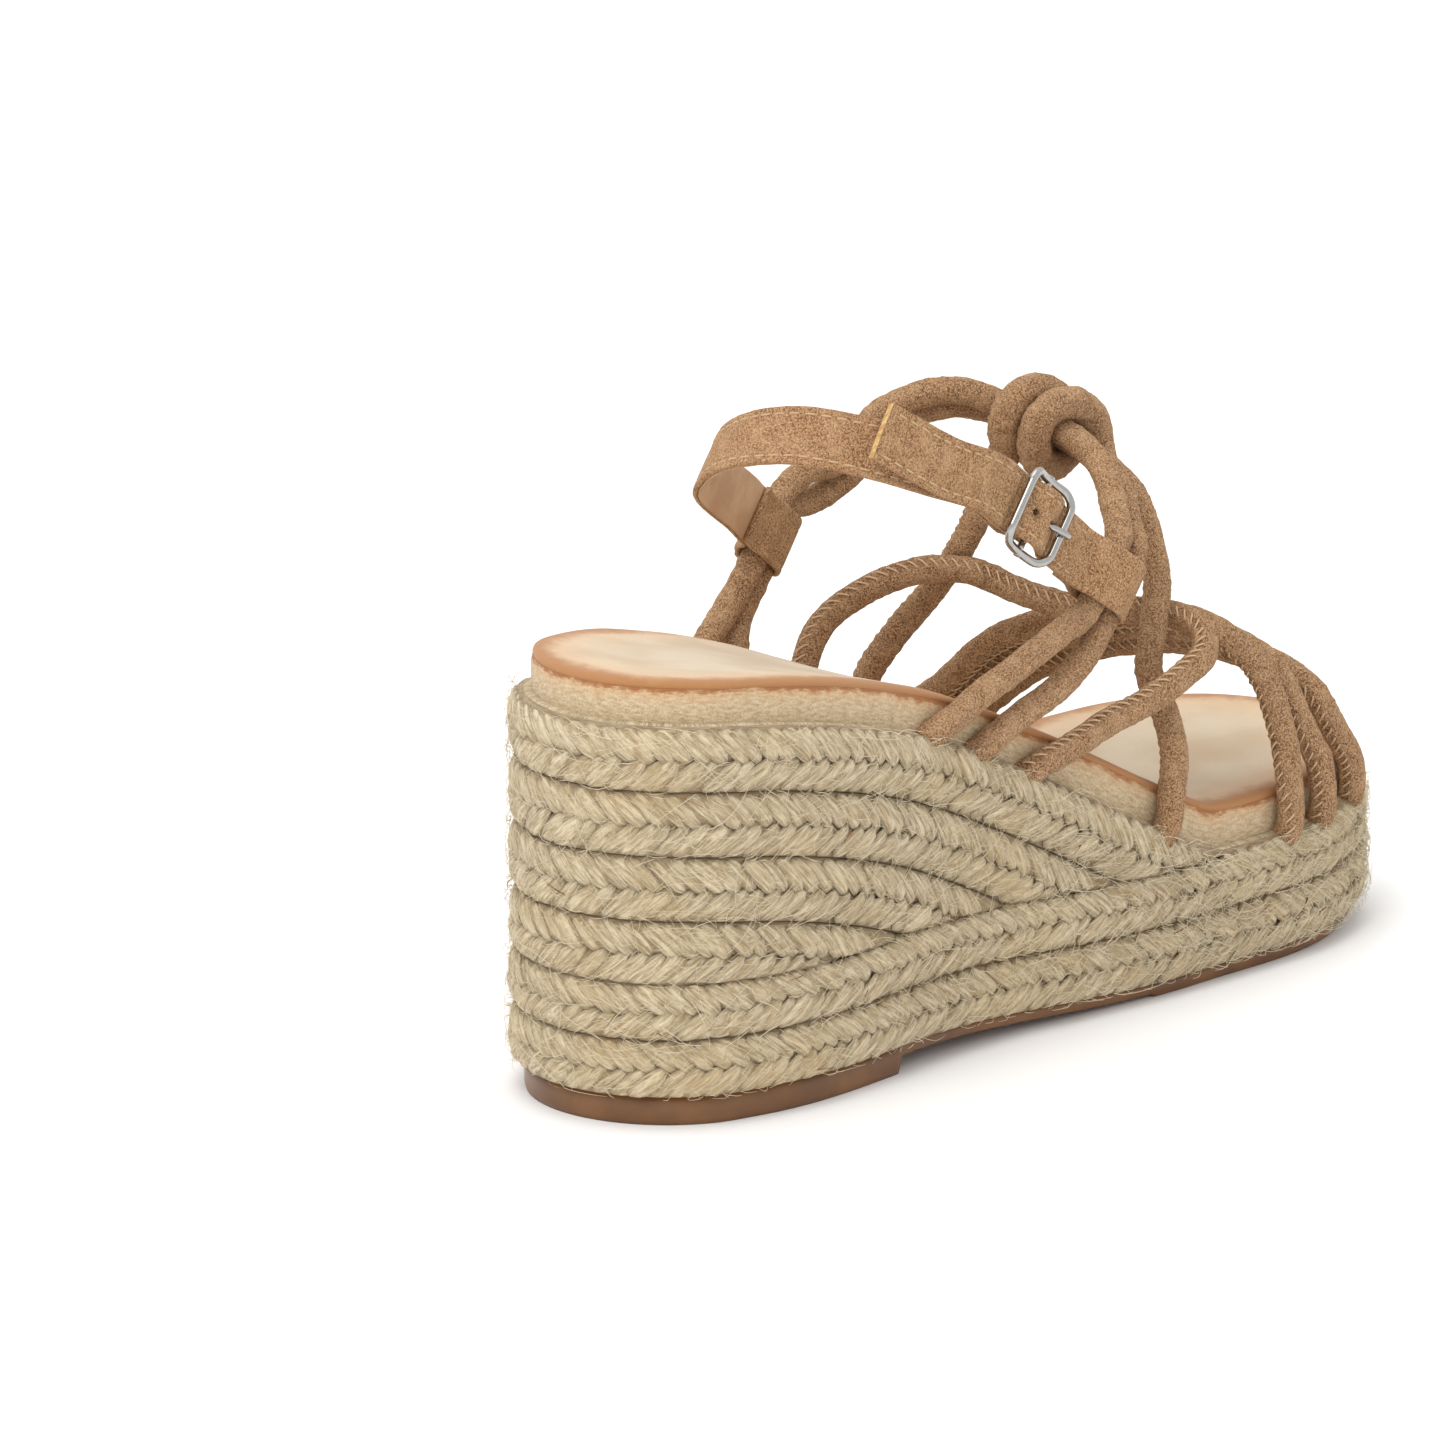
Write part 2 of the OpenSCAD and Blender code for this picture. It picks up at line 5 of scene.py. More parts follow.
import bmesh
import bpy
import numpy as np
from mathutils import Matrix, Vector

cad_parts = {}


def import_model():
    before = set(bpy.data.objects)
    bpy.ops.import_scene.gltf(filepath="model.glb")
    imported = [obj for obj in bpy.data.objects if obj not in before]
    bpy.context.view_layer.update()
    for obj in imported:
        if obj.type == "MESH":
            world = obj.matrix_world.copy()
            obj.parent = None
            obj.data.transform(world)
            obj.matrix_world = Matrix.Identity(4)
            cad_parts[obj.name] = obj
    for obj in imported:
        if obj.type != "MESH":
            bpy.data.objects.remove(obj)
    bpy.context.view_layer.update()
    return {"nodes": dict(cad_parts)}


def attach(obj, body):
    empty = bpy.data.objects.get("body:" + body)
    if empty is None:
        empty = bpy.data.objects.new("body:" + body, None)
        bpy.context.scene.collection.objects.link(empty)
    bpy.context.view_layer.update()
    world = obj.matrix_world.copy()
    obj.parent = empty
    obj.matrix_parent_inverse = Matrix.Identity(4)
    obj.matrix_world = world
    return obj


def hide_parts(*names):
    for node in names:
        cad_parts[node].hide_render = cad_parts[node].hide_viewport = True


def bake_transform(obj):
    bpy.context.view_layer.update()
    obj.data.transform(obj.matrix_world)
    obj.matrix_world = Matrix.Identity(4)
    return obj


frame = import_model()
rng = np.random.default_rng(7)

# ---------------------------------------------------------------- measures, in millimetres

MM = 0.001
LENGTH = 243
HEEL_R = 33
TOE_R = 40
TOE_SHIFT = 1
ROW = 12.6
WEDGE_ROWS = 4
HEEL_TOP = 88.5
WEDGE_RUN = 168
HEEL_PAD = 6.5
FORE_RUBBER = 3.4
WAIST_RUBBER = 2.7
PAD_RUN = 71
TREAD_START = 150
TOE_SPRING = 3
SPRING_RUN = 60
PAD_RAMP = 85
RUBBER_INSET = 2.5
FOOTBED_INSET = 4.5
CORD_R = 3
CORD_GAP = 0.5
STRAP_HALF = 6.5
SUEDE = 1.2
LINING = 0.6


def unit(v):
    v = np.asarray(v, float)
    return v / np.linalg.norm(v, axis=-1, keepdims=True)


# ---------------------------------------------------------------- curves


def slope_at(a, b, c):
    p, q = np.linalg.norm(b - a), np.linalg.norm(c - b)
    if p == 0:
        return (c - b) / q
    if q == 0:
        return (b - a) / p
    return ((b - a) * q / p + (c - b) * p / q) / (p + q)


def knot_curve(a, b, c, d, steps):
    t = np.linspace(0, 1, steps, endpoint=False)[:, None]
    h, k = np.linalg.norm(c - b), t * t * (3 - 2 * t)
    lean = (1 - t) * slope_at(a, b, c) - t * slope_at(b, c, d)
    return (1 - k) * b + k * c + h * t * (1 - t) * lean


def smooth(points, steps):
    p = np.asarray(points, float)
    n = len(p)
    runs = [
        knot_curve(p[max(i - 1, 0)], p[i], p[i + 1], p[min(i + 2, n - 1)], steps)
        for i in range(n - 1)
    ]
    return np.concatenate([*runs, p[-1:]])


def smooth_loop(points, steps):
    p = np.asarray(points, float)
    n = len(p)
    return np.concatenate(
        [knot_curve(p[i - 1], p[i], p[(i + 1) % n], p[(i + 2) % n], steps) for i in range(n)]
    )


def arc(x, y, r, start, end, n):
    a = np.radians(np.linspace(start, end, n + 1))
    return np.stack([x + r * np.cos(a), y + r * np.sin(a)], -1)


def along(points):
    """Length of the line up to each of its points."""
    steps = np.linalg.norm(np.diff(points, axis=0), axis=1)
    return np.concatenate([[0], np.cumsum(steps)])


def spaced(points, gap):
    """The same line with its points about gap apart."""
    run = along(points)
    at = np.linspace(0, run[-1], max(int(round(run[-1] / gap)), 4) + 1)
    return np.stack([np.interp(at, run, points[:, k]) for k in range(points.shape[1])], -1)


# ---------------------------------------------------------------- outline and heights

plan = smooth_loop(
    np.concatenate(
        [
            arc(0, HEEL_R, HEEL_R, 190, 350, 8),
            [[35, 100], [41.5, 165]],
            arc(TOE_SHIFT, LENGTH - TOE_R, TOE_R, 14, 160, 7),
            [[-41.5, 178], [-31, 100]],
        ]
    ),
    16,
)
back = int(np.argmin(plan[:, 1]))
plan = np.roll(plan, -back, axis=0)
plan_run = along(np.concatenate([plan, plan[:1]]))
PERIMETER = plan_run[-1]
plan_turn = unit(np.roll(plan, -1, axis=0) - np.roll(plan, 1, axis=0))
plan_in = np.stack([-plan_turn[:, 1], plan_turn[:, 0]], -1)


def round_plan(a, values):
    """values, one per outline point, read at lengths a round the outline."""
    return np.interp(np.mod(a, PERIMETER), plan_run, np.concatenate([values, values[:1]]))


def edge(a, d):
    """x and distance from the heel back, at length a round the outline and depth d inside it."""
    x = round_plan(a, plan[:, 0]) + d * round_plan(a, plan_in[:, 0])
    s = round_plan(a, plan[:, 1]) + d * round_plan(a, plan_in[:, 1])
    return x, s


def ease(t):
    c = np.clip(t, 0, 1)
    return c * c * (3 - 2 * c)


def braid_base(s):
    pad = (HEEL_PAD - FORE_RUBBER) * (1 - ease((s - PAD_RUN) / PAD_RAMP))
    return FORE_RUBBER + pad + TOE_SPRING * (np.maximum(0, s - LENGTH + SPRING_RUN) / SPRING_RUN) ** 2


def platform_top(s):
    return braid_base(s) + 2 * ROW


WEDGE_HEIGHT = HEEL_TOP - float(platform_top(0.0))
ROW_PITCH = WEDGE_HEIGHT / WEDGE_ROWS


def wedge_top(s):
    c = np.cos(np.radians(np.minimum(90 * np.maximum(s, 0) / WEDGE_RUN, 180)))
    wave = (c + np.sqrt(c * c + 0.0036)) / 2
    return platform_top(s) + np.maximum(0, WEDGE_HEIGHT * wave - 0.5)


def tilt(s):
    return np.sqrt(1 + ((wedge_top(s + 1) - wedge_top(s - 1)) / 2) ** 2)


def row_line(k, s):
    return wedge_top(s) - (WEDGE_ROWS - k) * ROW_PITCH * tilt(s)


def world(x, s, z):
    return np.stack(np.broadcast_arrays(x, s - HEEL_R, z), -1)


# ---------------------------------------------------------------- meshes


class Shape:
    """Grids of points, in millimetres, gathered into one mesh."""

    def __init__(self):
        self.points, self.faces, self.uv, self.finish, self.marks = [], [], [], [], []
        self.count = 0

    def grid(self, rows, u, v, closed=True, caps=True, finish=0, mark=0.0):
        """rows is n by m points. u has n values and v has m, or m + 1 where the rows close."""
        n, m = rows.shape[:2]
        self.points.append(rows.reshape(-1, 3))
        self.marks.append(np.broadcast_to(np.asarray(mark, float), (n, m)).reshape(-1))
        i, j = np.meshgrid(np.arange(n - 1), np.arange(m if closed else m - 1), indexing="ij")
        i, j = i.ravel(), j.ravel()
        k = (j + 1) % m
        quads = self.count + np.stack([i * m + j, (i + 1) * m + j, (i + 1) * m + k, i * m + k], -1)
        self.faces += quads.tolist()
        u, v = np.asarray(u, float), np.asarray(v, float)
        corners = [(u[i], v[j]), (u[i + 1], v[j]), (u[i + 1], v[j + 1]), (u[i], v[j + 1])]
        self.uv.append(np.stack([np.stack(c, -1) for c in corners], 1).reshape(-1, 2))
        self.finish += [finish] * len(quads)
        if caps and closed:
            for row, end in ((0, u[0]), (n - 1, u[-1])):
                self.faces.append((self.count + row * m + np.arange(m)).tolist())
                self.uv.append(np.stack([np.full(m, end), v[:m]], -1))
                self.finish.append(finish)
        self.count += n * m

    def piece(self, name, finishes, body="root", stands_for=()):
        mesh = bpy.data.meshes.new(name)
        points = np.concatenate(self.points) * MM
        mesh.from_pydata(points.tolist(), [], self.faces)
        layer = mesh.uv_layers.new(name="UVMap")
        layer.data.foreach_set("uv", np.concatenate(self.uv).astype(np.float32).ravel())
        mark = mesh.attributes.new("mark", "FLOAT", "POINT")
        mark.data.foreach_set("value", np.concatenate(self.marks).astype(np.float32))
        for finish in finishes:
            mesh.materials.append(finish.material)
        mesh.polygons.foreach_set("material_index", np.array(self.finish, np.int32))
        mesh.polygons.foreach_set("use_smooth", np.ones(len(self.faces), bool))
        turned = bmesh.new()
        turned.from_mesh(mesh)
        bmesh.ops.recalc_face_normals(turned, faces=turned.faces)
        turned.to_mesh(mesh)
        turned.free()
        mesh.update()
        made = bpy.data.objects.new(name, mesh)
        bpy.context.scene.collection.objects.link(made)
        if body:
            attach(made, body)
        if stands_for:
            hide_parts(*stands_for)
        return made


def directions(path):
    ahead = np.concatenate([path[1:], path[-1:]])
    behind = np.concatenate([path[:1], path[:-1]])
    return unit(ahead - behind)


def carried(path, first=(0.31, 0.17, 0.93)):
    """Direction of travel and two normals at each point, carried without twist."""
    t = directions(path)
    normals = []
    last = np.asarray(first, float)
    for way in t:
        last = unit(last - (last @ way) * way)
        normals.append(last)
    n = np.array(normals)
    return t, n, np.cross(t, n)


def tube(shape, path, radius, sides=16, finish=0, first=(0.31, 0.17, 0.93), mark=0.0, flat=1.0):
    """Round bar along a path. radius is a number, one per point, or one per point and side."""
    _, n, b = carried(path, first)
    a = np.arange(sides) * 2 * np.pi / sides
    r = np.asarray(radius, float)
    if r.ndim < 2:
        r = np.broadcast_to(r[..., None] if r.ndim else r, (len(path), sides))
    ring = np.cos(a)[None, :, None] * n[:, None] + flat * np.sin(a)[None, :, None] * b[:, None]
    rows = path[:, None] + r[..., None] * ring
    round_way = np.linspace(0, 2 * np.pi * float(r.mean()), sides + 1)
    shape.grid(rows, along(path), round_way, finish=finish, mark=mark)


def soft_noise(points, size, seed):
    """Smooth random value at each point, from sums of waves of about this size."""
    draw = np.random.default_rng(seed)
    total = np.zeros(points.shape[:-1])
    for _ in range(10):
        way = unit(draw.normal(size=3)) * 2 * np.pi / (size * draw.uniform(0.7, 1.5))
        total += np.sin(points @ way + draw.uniform(0, 2 * np.pi))
    return total / math.sqrt(10)


# ---------------------------------------------------------------- finishes


class Value:
    """What one socket gives. Arithmetic on it adds Math nodes."""

    def __init__(self, finish, socket):
        self.finish, self.socket = finish, socket

    def math(self, operation, a, b):
        return self.finish.node("ShaderNodeMath", {"operation": operation}, {0: a, 1: b})

    def __add__(self, other):
        return self.math("ADD", self, other)

    def __mul__(self, other):
        return self.math("MULTIPLY", self, other)

    __rmul__ = __mul__

    def __sub__(self, other):
        return self.math("SUBTRACT", self, other)


def colour(red, green, blue):
    """A colour given as it looks on a screen, from 0 to 255."""
    c = np.array([red, green, blue]) / 255
    linear = np.where(c <= 0.04045, c / 12.92, ((c + 0.055) / 1.055) ** 2.4)
    return (*linear.tolist(), 1.0)


class Finish:
    """A material and the nodes that make it."""

    def __init__(self, name, **sockets):
        self.material = bpy.data.materials.new(name)
        self.material.use_nodes = True
        self.tree = self.material.node_tree
        self.shader = self.tree.nodes["Principled BSDF"]
        for key, value in sockets.items():
            self.shader.inputs[key.replace("_", " ")].default_value = value

    def node(self, kind, settings=None, sockets=None, out=0):
        made = self.tree.nodes.new(kind)
        for key, value in (settings or {}).items():
            setattr(made, key, value)
        for key, value in (sockets or {}).items():
            if isinstance(value, Value):
                self.tree.links.new(value.socket, made.inputs[key])
            else:
                made.inputs[key].default_value = value
        return Value(self, made.outputs[out])

    def place(self):
        return self.node("ShaderNodeTexCoord", out="Object")

    def cloth_way(self, u, v, w=0.0):
        flat = self.node("ShaderNodeUVMap", {"uv_map": "UVMap"})
        return self.node("ShaderNodeVectorMath", {"operation": "MULTIPLY"}, {0: flat, 1: (u, v, w)})

    def mark(self):
        return self.node("ShaderNodeAttribute", {"attribute_name": "mark"}, out="Fac")

    def noise(self, at, scale, detail=2.0, rough=0.5):
        sockets = {"Vector": at, "Scale": scale, "Detail": detail, "Roughness": rough}
        return self.node("ShaderNodeTexNoise", {}, sockets, out="Fac")

    def ramp(self, value, low, high, to_low=0.0, to_high=1.0):
        sockets = {"Value": value, "From Min": low, "From Max": high}
        sockets.update({"To Min": to_low, "To Max": to_high})
        return self.node("ShaderNodeMapRange", {"interpolation_type": "SMOOTHSTEP"}, sockets)

    def mix(self, share, a, b, blend="MIX"):
        settings = {"data_type": "RGBA", "blend_type": blend}
        return self.node("ShaderNodeMix", settings, {0: share, 6: a, 7: b}, out=2)

    def use(self, socket, value):
        self.tree.links.new(value.socket, self.shader.inputs[socket])

    def bump(self, height, strength, distance):
        sockets = {"Height": height, "Strength": strength, "Distance": distance * MM}
        self.use("Normal", self.node("ShaderNodeBump", {}, sockets))


def jute_finish():
    """Hairy yarn, with painted shade towards both ends of each lobe. The first texture axis runs along a
    lobe, from 0 at the row's edge to 9 at its tip.
    """
    made = Finish("jute", Roughness=0.9, Specular_IOR_Level=0.2, Sheen_Weight=0.15)
    lobe = made.mark()
    shift = made.node("ShaderNodeCombineXYZ", {}, {"X": lobe * 37, "Z": lobe * 91})
    settings = {"operation": "ADD"}
    strand_way = made.node("ShaderNodeVectorMath", settings, {0: made.cloth_way(0.22, 1.5), 1: shift})
    fibre_way = made.node("ShaderNodeVectorMath", settings, {0: made.cloth_way(0.5, 4.2), 1: shift})
    strands = made.noise(strand_way, 1.0, 3.0, 0.65)
    fibres = made.noise(fibre_way, 1.0, 2.0, 0.6)
    place = made.place()
    patches = made.noise(place, 45, 2.0)
    tangle = made.noise(place, 620, 3.0, 0.7)
    pale, straw, dull = colour(236, 221, 190), colour(210, 190, 154), colour(150, 126, 90)
    tone = made.mix(made.ramp(strands, 0.3, 0.7), dull, pale)
    tone = made.mix(made.ramp(fibres, 0.35, 0.7, 0.0, 0.5), tone, straw)
    tone = made.mix(made.ramp(tangle, 0.52, 0.72, 0.0, 0.5), tone, colour(168, 142, 102))
    tone = made.mix(lobe * 0.25, tone, colour(194, 172, 134))
    tone = made.mix(made.ramp(patches, 0.45, 0.75, 0.0, 0.35), tone, colour(208, 180, 134))
    # Painted shade: the jute darkens towards each lobe's tip, where it dives under the other file's lobes,
    # and at its root on the row's edge.
    length = made.node("ShaderNodeSeparateXYZ", {}, {0: made.cloth_way(1.0, 1.0)})
    tone = made.mix(made.ramp(length, 7.0, 9.2, 0.0, 0.55), tone, colour(126, 100, 64))
    tone = made.mix(made.ramp(length, 0.0, 1.0, 0.4, 0.0), tone, colour(126, 100, 64))
    made.use("Base Color", tone)
    made.bump(strands + 0.5 * fibres + 0.5 * tangle, 1.0, 0.9)
    return made


def fuzz_finish():
    made = Finish("jute_fuzz", Roughness=0.8, Specular_IOR_Level=0.2)
    tone = made.mix(made.noise(made.place(), 90), colour(236, 226, 200), colour(206, 188, 152))
    made.use("Base Color", tone)
    return made


def suede_finish(name, light, mid, dark, nap):
    made = Finish(name, Roughness=0.96, Specular_IOR_Level=0.15, Sheen_Weight=0.25, Sheen_Roughness=0.6)
    made.shader.inputs["Sheen Tint"].default_value = colour(232, 200, 156)
    place = made.place()
    grain = made.noise(place, 2100, 2.0, 0.7)
    fine = made.noise(place, 3400, 1.0, 0.6)
    brushed = made.noise(place, 260, 2.0, 0.5)
    tone = made.mix(made.ramp(grain, 0.4, 0.6), dark, mid)
    tone = made.mix(made.ramp(fine, 0.52, 0.68, 0.0, 0.8), tone, light)
    tone = made.mix(made.ramp(brushed, 0.4, 0.72, 0.0, 0.25), tone, light)
    made.use("Base Color", tone)
    made.bump(grain + 0.5 * fine, 0.9, nap)
    return made


def lining_finish():
    made = Finish("strap_lining", Roughness=0.55, Specular_IOR_Level=0.35)
    place = made.place()
    pores = made.noise(place, 1800, 2.0)
    wear = made.noise(place, 120, 2.0)
    tone = made.mix(made.ramp(wear, 0.35, 0.7), colour(176, 138, 104), colour(196, 160, 124))
    made.use("Base Color", made.mix(made.ramp(pores, 0.5, 0.8, 0.0, 0.4), tone, colour(150, 112, 80)))
    made.bump(pores, 0.25, 0.15)
    return made


def thread_finish(name, tone, shade):
    made = Finish(name, Roughness=0.6)
    twist = made.node(
        "ShaderNodeTexWave",
        {"wave_type": "BANDS", "bands_direction": "DIAGONAL"},
        {"Vector": made.cloth_way(2.2, 2.2), "Scale": 1.0, "Distortion": 0.4},
        out="Fac",
    )
    made.use("Base Color", made.mix(twist, shade, tone))
    made.bump(twist, 0.5, 0.08)
    return made


def cover_finish():
    """Pale suede cover, burnished towards the rim. The mark is the depth inside the rim, in millimetres."""
    made = Finish("footbed_cover", Roughness=0.9, Specular_IOR_Level=0.2, Sheen_Weight=0.2)
    place = made.place()
    cloud = made.noise(place, 55, 2.0)
    grain = made.noise(place, 1900, 3.0, 0.6)
    streaks = made.noise(place, 240, 3.0, 0.65)
    depth = made.mark() + 7.0 * (cloud - 0.5) + 5.0 * (streaks - 0.5)
    cream = made.mix(made.ramp(cloud, 0.35, 0.7), colour(205, 188, 162), colour(194, 171, 141))
    tone = made.mix(made.ramp(depth, 3.0, 18.0, 0.6, 0.0), cream, colour(214, 178, 138))
    tone = made.mix(made.ramp(depth, 1.2, 7.0, 0.92, 0.0), tone, colour(168, 116, 70))
    tone = made.mix(made.ramp(grain, 0.5, 0.78, 0.0, 0.25), tone, colour(186, 146, 108))
    made.use("Base Color", tone)
    made.bump(grain, 0.35, 0.25)
    return made


def side_finish():
    """Woven fabric on the footbed's side. The mark is the depth below the top edge, in millimetres."""
    made = Finish("side_fabric", Roughness=0.9, Specular_IOR_Level=0.2, Sheen_Weight=0.15)
    place = made.place()
    waver = made.noise(place, 130, 2.0)
    rows = made.noise(made.cloth_way(1.5, 0.42), 1.0, 3.0, 0.6)
    loops = made.noise(made.cloth_way(2.2, 2.0), 1.0, 2.0, 0.55)
    specks = made.noise(place, 1500, 2.0, 0.6)
    weave = 0.6 * rows + 0.4 * loops
    tone = made.mix(made.ramp(weave, 0.34, 0.64), colour(178, 152, 115), colour(214, 195, 164))
    tone = made.mix(made.ramp(specks, 0.52, 0.75, 0.0, 0.4), tone, colour(188, 158, 120))
    drop = made.mark() + 2.6 * (waver - 0.5) + 2.4 * (rows - 0.5)
    tone = made.mix(made.ramp(drop, 1.2, 5.0, 0.5, 0.0), tone, colour(204, 160, 116))
    tone = made.mix(made.ramp(drop, 0.9, 2.2, 0.95, 0.0), tone, colour(158, 102, 58))
    made.use("Base Color", tone)
    made.bump(weave + 0.4 * specks, 0.8, 0.5)
    return made


def rubber_finish():
    made = Finish("outsole_rubber", Roughness=0.32, Subsurface_Weight=0.2, Subsurface_Scale=0.003)
    made.shader.inputs["Subsurface Radius"].default_value = (1.0, 0.65, 0.35)
    place = made.place()
    haze = made.noise(place, 70, 2.0)
    dust = made.noise(place, 900, 2.0)
    tone = made.mix(made.ramp(haze, 0.35, 0.7), colour(106, 69, 35), colour(127, 86, 47))
    made.use("Base Color", made.mix(made.ramp(dust, 0.6, 0.8, 0.0, 0.15), tone, colour(150, 114, 76)))
    made.use("Roughness", made.ramp(haze, 0.3, 0.7, 0.28, 0.42))
    made.bump(dust, 0.15, 0.1)
    return made


def nickel_finish():
    made = Finish("nickel", Metallic=1.0, Roughness=0.14)
    place = made.place()
    rub = made.noise(place, 700, 3.0, 0.6)
    made.use("Base Color", made.mix(rub, colour(158, 156, 152), colour(188, 187, 184)))
    made.use("Roughness", made.ramp(rub, 0.35, 0.75, 0.1, 0.22))
    return made


def plain_finish(name, light, dark, scale):
    made = Finish(name, Roughness=0.85)
    spots = made.noise(made.place(), scale, 3.0, 0.6)
    made.use("Base Color", made.mix(made.ramp(spots, 0.35, 0.7), dark, light))
    made.bump(spots, 0.4, 0.2)
    return made


jute = jute_finish()
fuzz = fuzz_finish()
shive = plain_finish("shive", colour(172, 128, 82), colour(122, 80, 44), 300)
suede = suede_finish("suede", colour(224, 184, 142), colour(187, 143, 103), colour(120, 82, 53), 0.8)
cord_suede = suede_finish(
    "cord_suede", colour(228, 189, 149), colour(191, 147, 108), colour(116, 81, 54), 1.1
)
lining = lining_finish()
thread = thread_finish("strap_thread", colour(222, 190, 152), colour(178, 142, 104))
seam_thread = thread_finish("seam_thread", colour(232, 202, 164), colour(180, 142, 104))
cut_edge = plain_finish("cut_edge", colour(216, 182, 122), colour(176, 134, 84), 900)
cover = cover_finish()
side_fabric = side_finish()
rubber = rubber_finish()
nickel = nickel_finish()
INNER = {
    "wedge_core": plain_finish("wedge_core", colour(206, 180, 140), colour(168, 138, 98), 160),
    "insole_board": plain_finish("insole_board", colour(150, 116, 82), colour(118, 88, 60), 300),
    "footbed_foam": plain_finish("foam", colour(236, 226, 196), colour(212, 200, 166), 700),
}
for node, finish in INNER.items():
    inner = frame["nodes"][node]
    inner.data.materials.clear()
    inner.data.materials.append(finish.material)
bar = frame["nodes"]["buckle_centre_bar"]
bar.data.materials.clear()
bar.data.materials.append(nickel.material)

# ---------------------------------------------------------------- plaited jute rows

# A lobe runs from its root at the row's edge to its tip, just past the row's middle
PITCH = 4.1
LOBE_STEPS = 9
LOBE_SIDES = 8
LOBE_HALF = 2.05
LOBE_THICK = 0.38
LOBE_ROOT = 0.95
LOBE_CROSS = 1.06
LOBE_REACH = 8.3
LOBE_BEHIND = 4.2
LOBE_BOW = 0.6
TIP_DIVE = 1.15
FIBRE_RUN = 9
SEAM_AT = 0.965
ROW_DEPTH = 1.2
ROOM_OVER = 0.15
SINK = 0.3
LOST = 1.2


def row_course(upper, lower, start, end):
    """Middle of a row: lengths round the outline, heights, half height, and length along the row."""
    a = np.arange(start, end, 0.5)
    s = edge(a, 0)[1]
    z = (upper(s) + lower(s)) / 2
    half = (upper(s) - lower(s)) / 2
    run = along(np.stack([a, z], -1))
    slope = np.gradient(z, a)
    return a, z, half, run, slope


def row_round(share):
    """Bulge of a row outwards, over its height from -1 to 1."""
    return 2.1 * np.sqrt(np.clip(1 - (share / 1.02) ** 2, 0, 1)) - 0.8


def lobe(at, h, side):
    """Lobe seen flat on its row: places along the row, up the row and outwards, and its tint."""
    sweep = np.linspace(0, 1, LOBE_STEPS)
    turn = np.arange(LOBE_SIDES) * 2 * np.pi / LOBE_SIDES
    tint, size = rng.uniform(), rng.normal(1.0, 0.1)
    shift, tip = rng.normal(0, 0.4, 2)
    y = side * (h * (LOBE_ROOT - LOBE_CROSS * sweep**0.92) + 0.25 * tip * sweep)
    x = at + shift - LOBE_BEHIND + (LOBE_REACH + 0.8 * tip) * sweep + LOBE_BOW * np.sin(np.pi * sweep)
    dive = TIP_DIVE * np.clip((sweep - 0.7) / 0.3, 0, 1) ** 1.5
    raised = 0.2 * rng.normal()
    belly = np.sin(np.pi * np.clip(sweep * 1.1 + 0.06, 0, 1)) ** 0.5
    wide = size * LOBE_HALF * (0.55 + 0.45 * belly) * np.where(sweep > 0.95, 0.5, 1.0)
    way = unit(np.stack([np.gradient(x), np.gradient(y)], -1))
    across = np.stack([-way[:, 1], way[:, 0]], -1)
    px = x[:, None] + wide[:, None] * np.cos(turn) * across[:, :1]
    py = y[:, None] + wide[:, None] * np.cos(turn) * across[:, 1:]
    py = side * np.minimum(side * py, SEAM_AT * h)
    po = row_round(py / h) + raised - dive[:, None] + LOBE_THICK * wide[:, None] * np.sin(turn)
    return px, py, po, tint


def plait_bed(shape, course, floor):
    """Surface close under the lobes, grooved along the row's middle, and a lip over the row's top."""
    a, z, half, run, _ = course
    pick = slice(None, None, 3)

    def over_floor(heights, at):
        if floor is None:
            return heights
        return np.maximum(heights, floor(edge(at, 0)[1]) - SINK)

    lip_a = a[pick]
    lip = []
    for depth, rise in ((1.0, -1.2), (1.7, -0.35), (3.2, 0.25), (5.2, 0.1)):
        lip_x, lip_s = edge(lip_a, depth)
        lip.append(world(lip_x, lip_s, over_floor((z + half)[pick] + rise, lip_a)))
    shape.grid(np.array(lip), [3.0, 3.6, 4.6, 6.4], run[pick], closed=False, mark=0.3)
    side = [0.1, 0.2, 0.4, 0.7, 0.9, 0.975, 1]
    share = np.array([-c for c in side[::-1]] + [0] + side)
    groove = np.exp(-((share / 0.13) ** 2))
    notch = 1.1 * (np.abs(share) > 0.99)
    bulge = row_round(share) + 0.15 - groove - notch
    bed_a = a[pick, None] + 0 * share
    bed_z = over_floor(z[pick, None] + share * half[pick, None], bed_a)
    x, s = edge(bed_a, ROW_DEPTH - np.broadcast_to(bulge, bed_a.shape))
    round_way = np.linspace(0, 12, len(share))
    # Painted shade: the bed's first texture coordinate starts at 20, past the jute's lobe-tip ramp, so the
    # whole bed is painted dark as the shade in the gaps under the lobes; the lip's coordinates, 3 to 6.4,
    # stay clear of it.
    shape.grid(world(x, s, bed_z), 20 + run[pick], round_way, closed=False, mark=0.6)


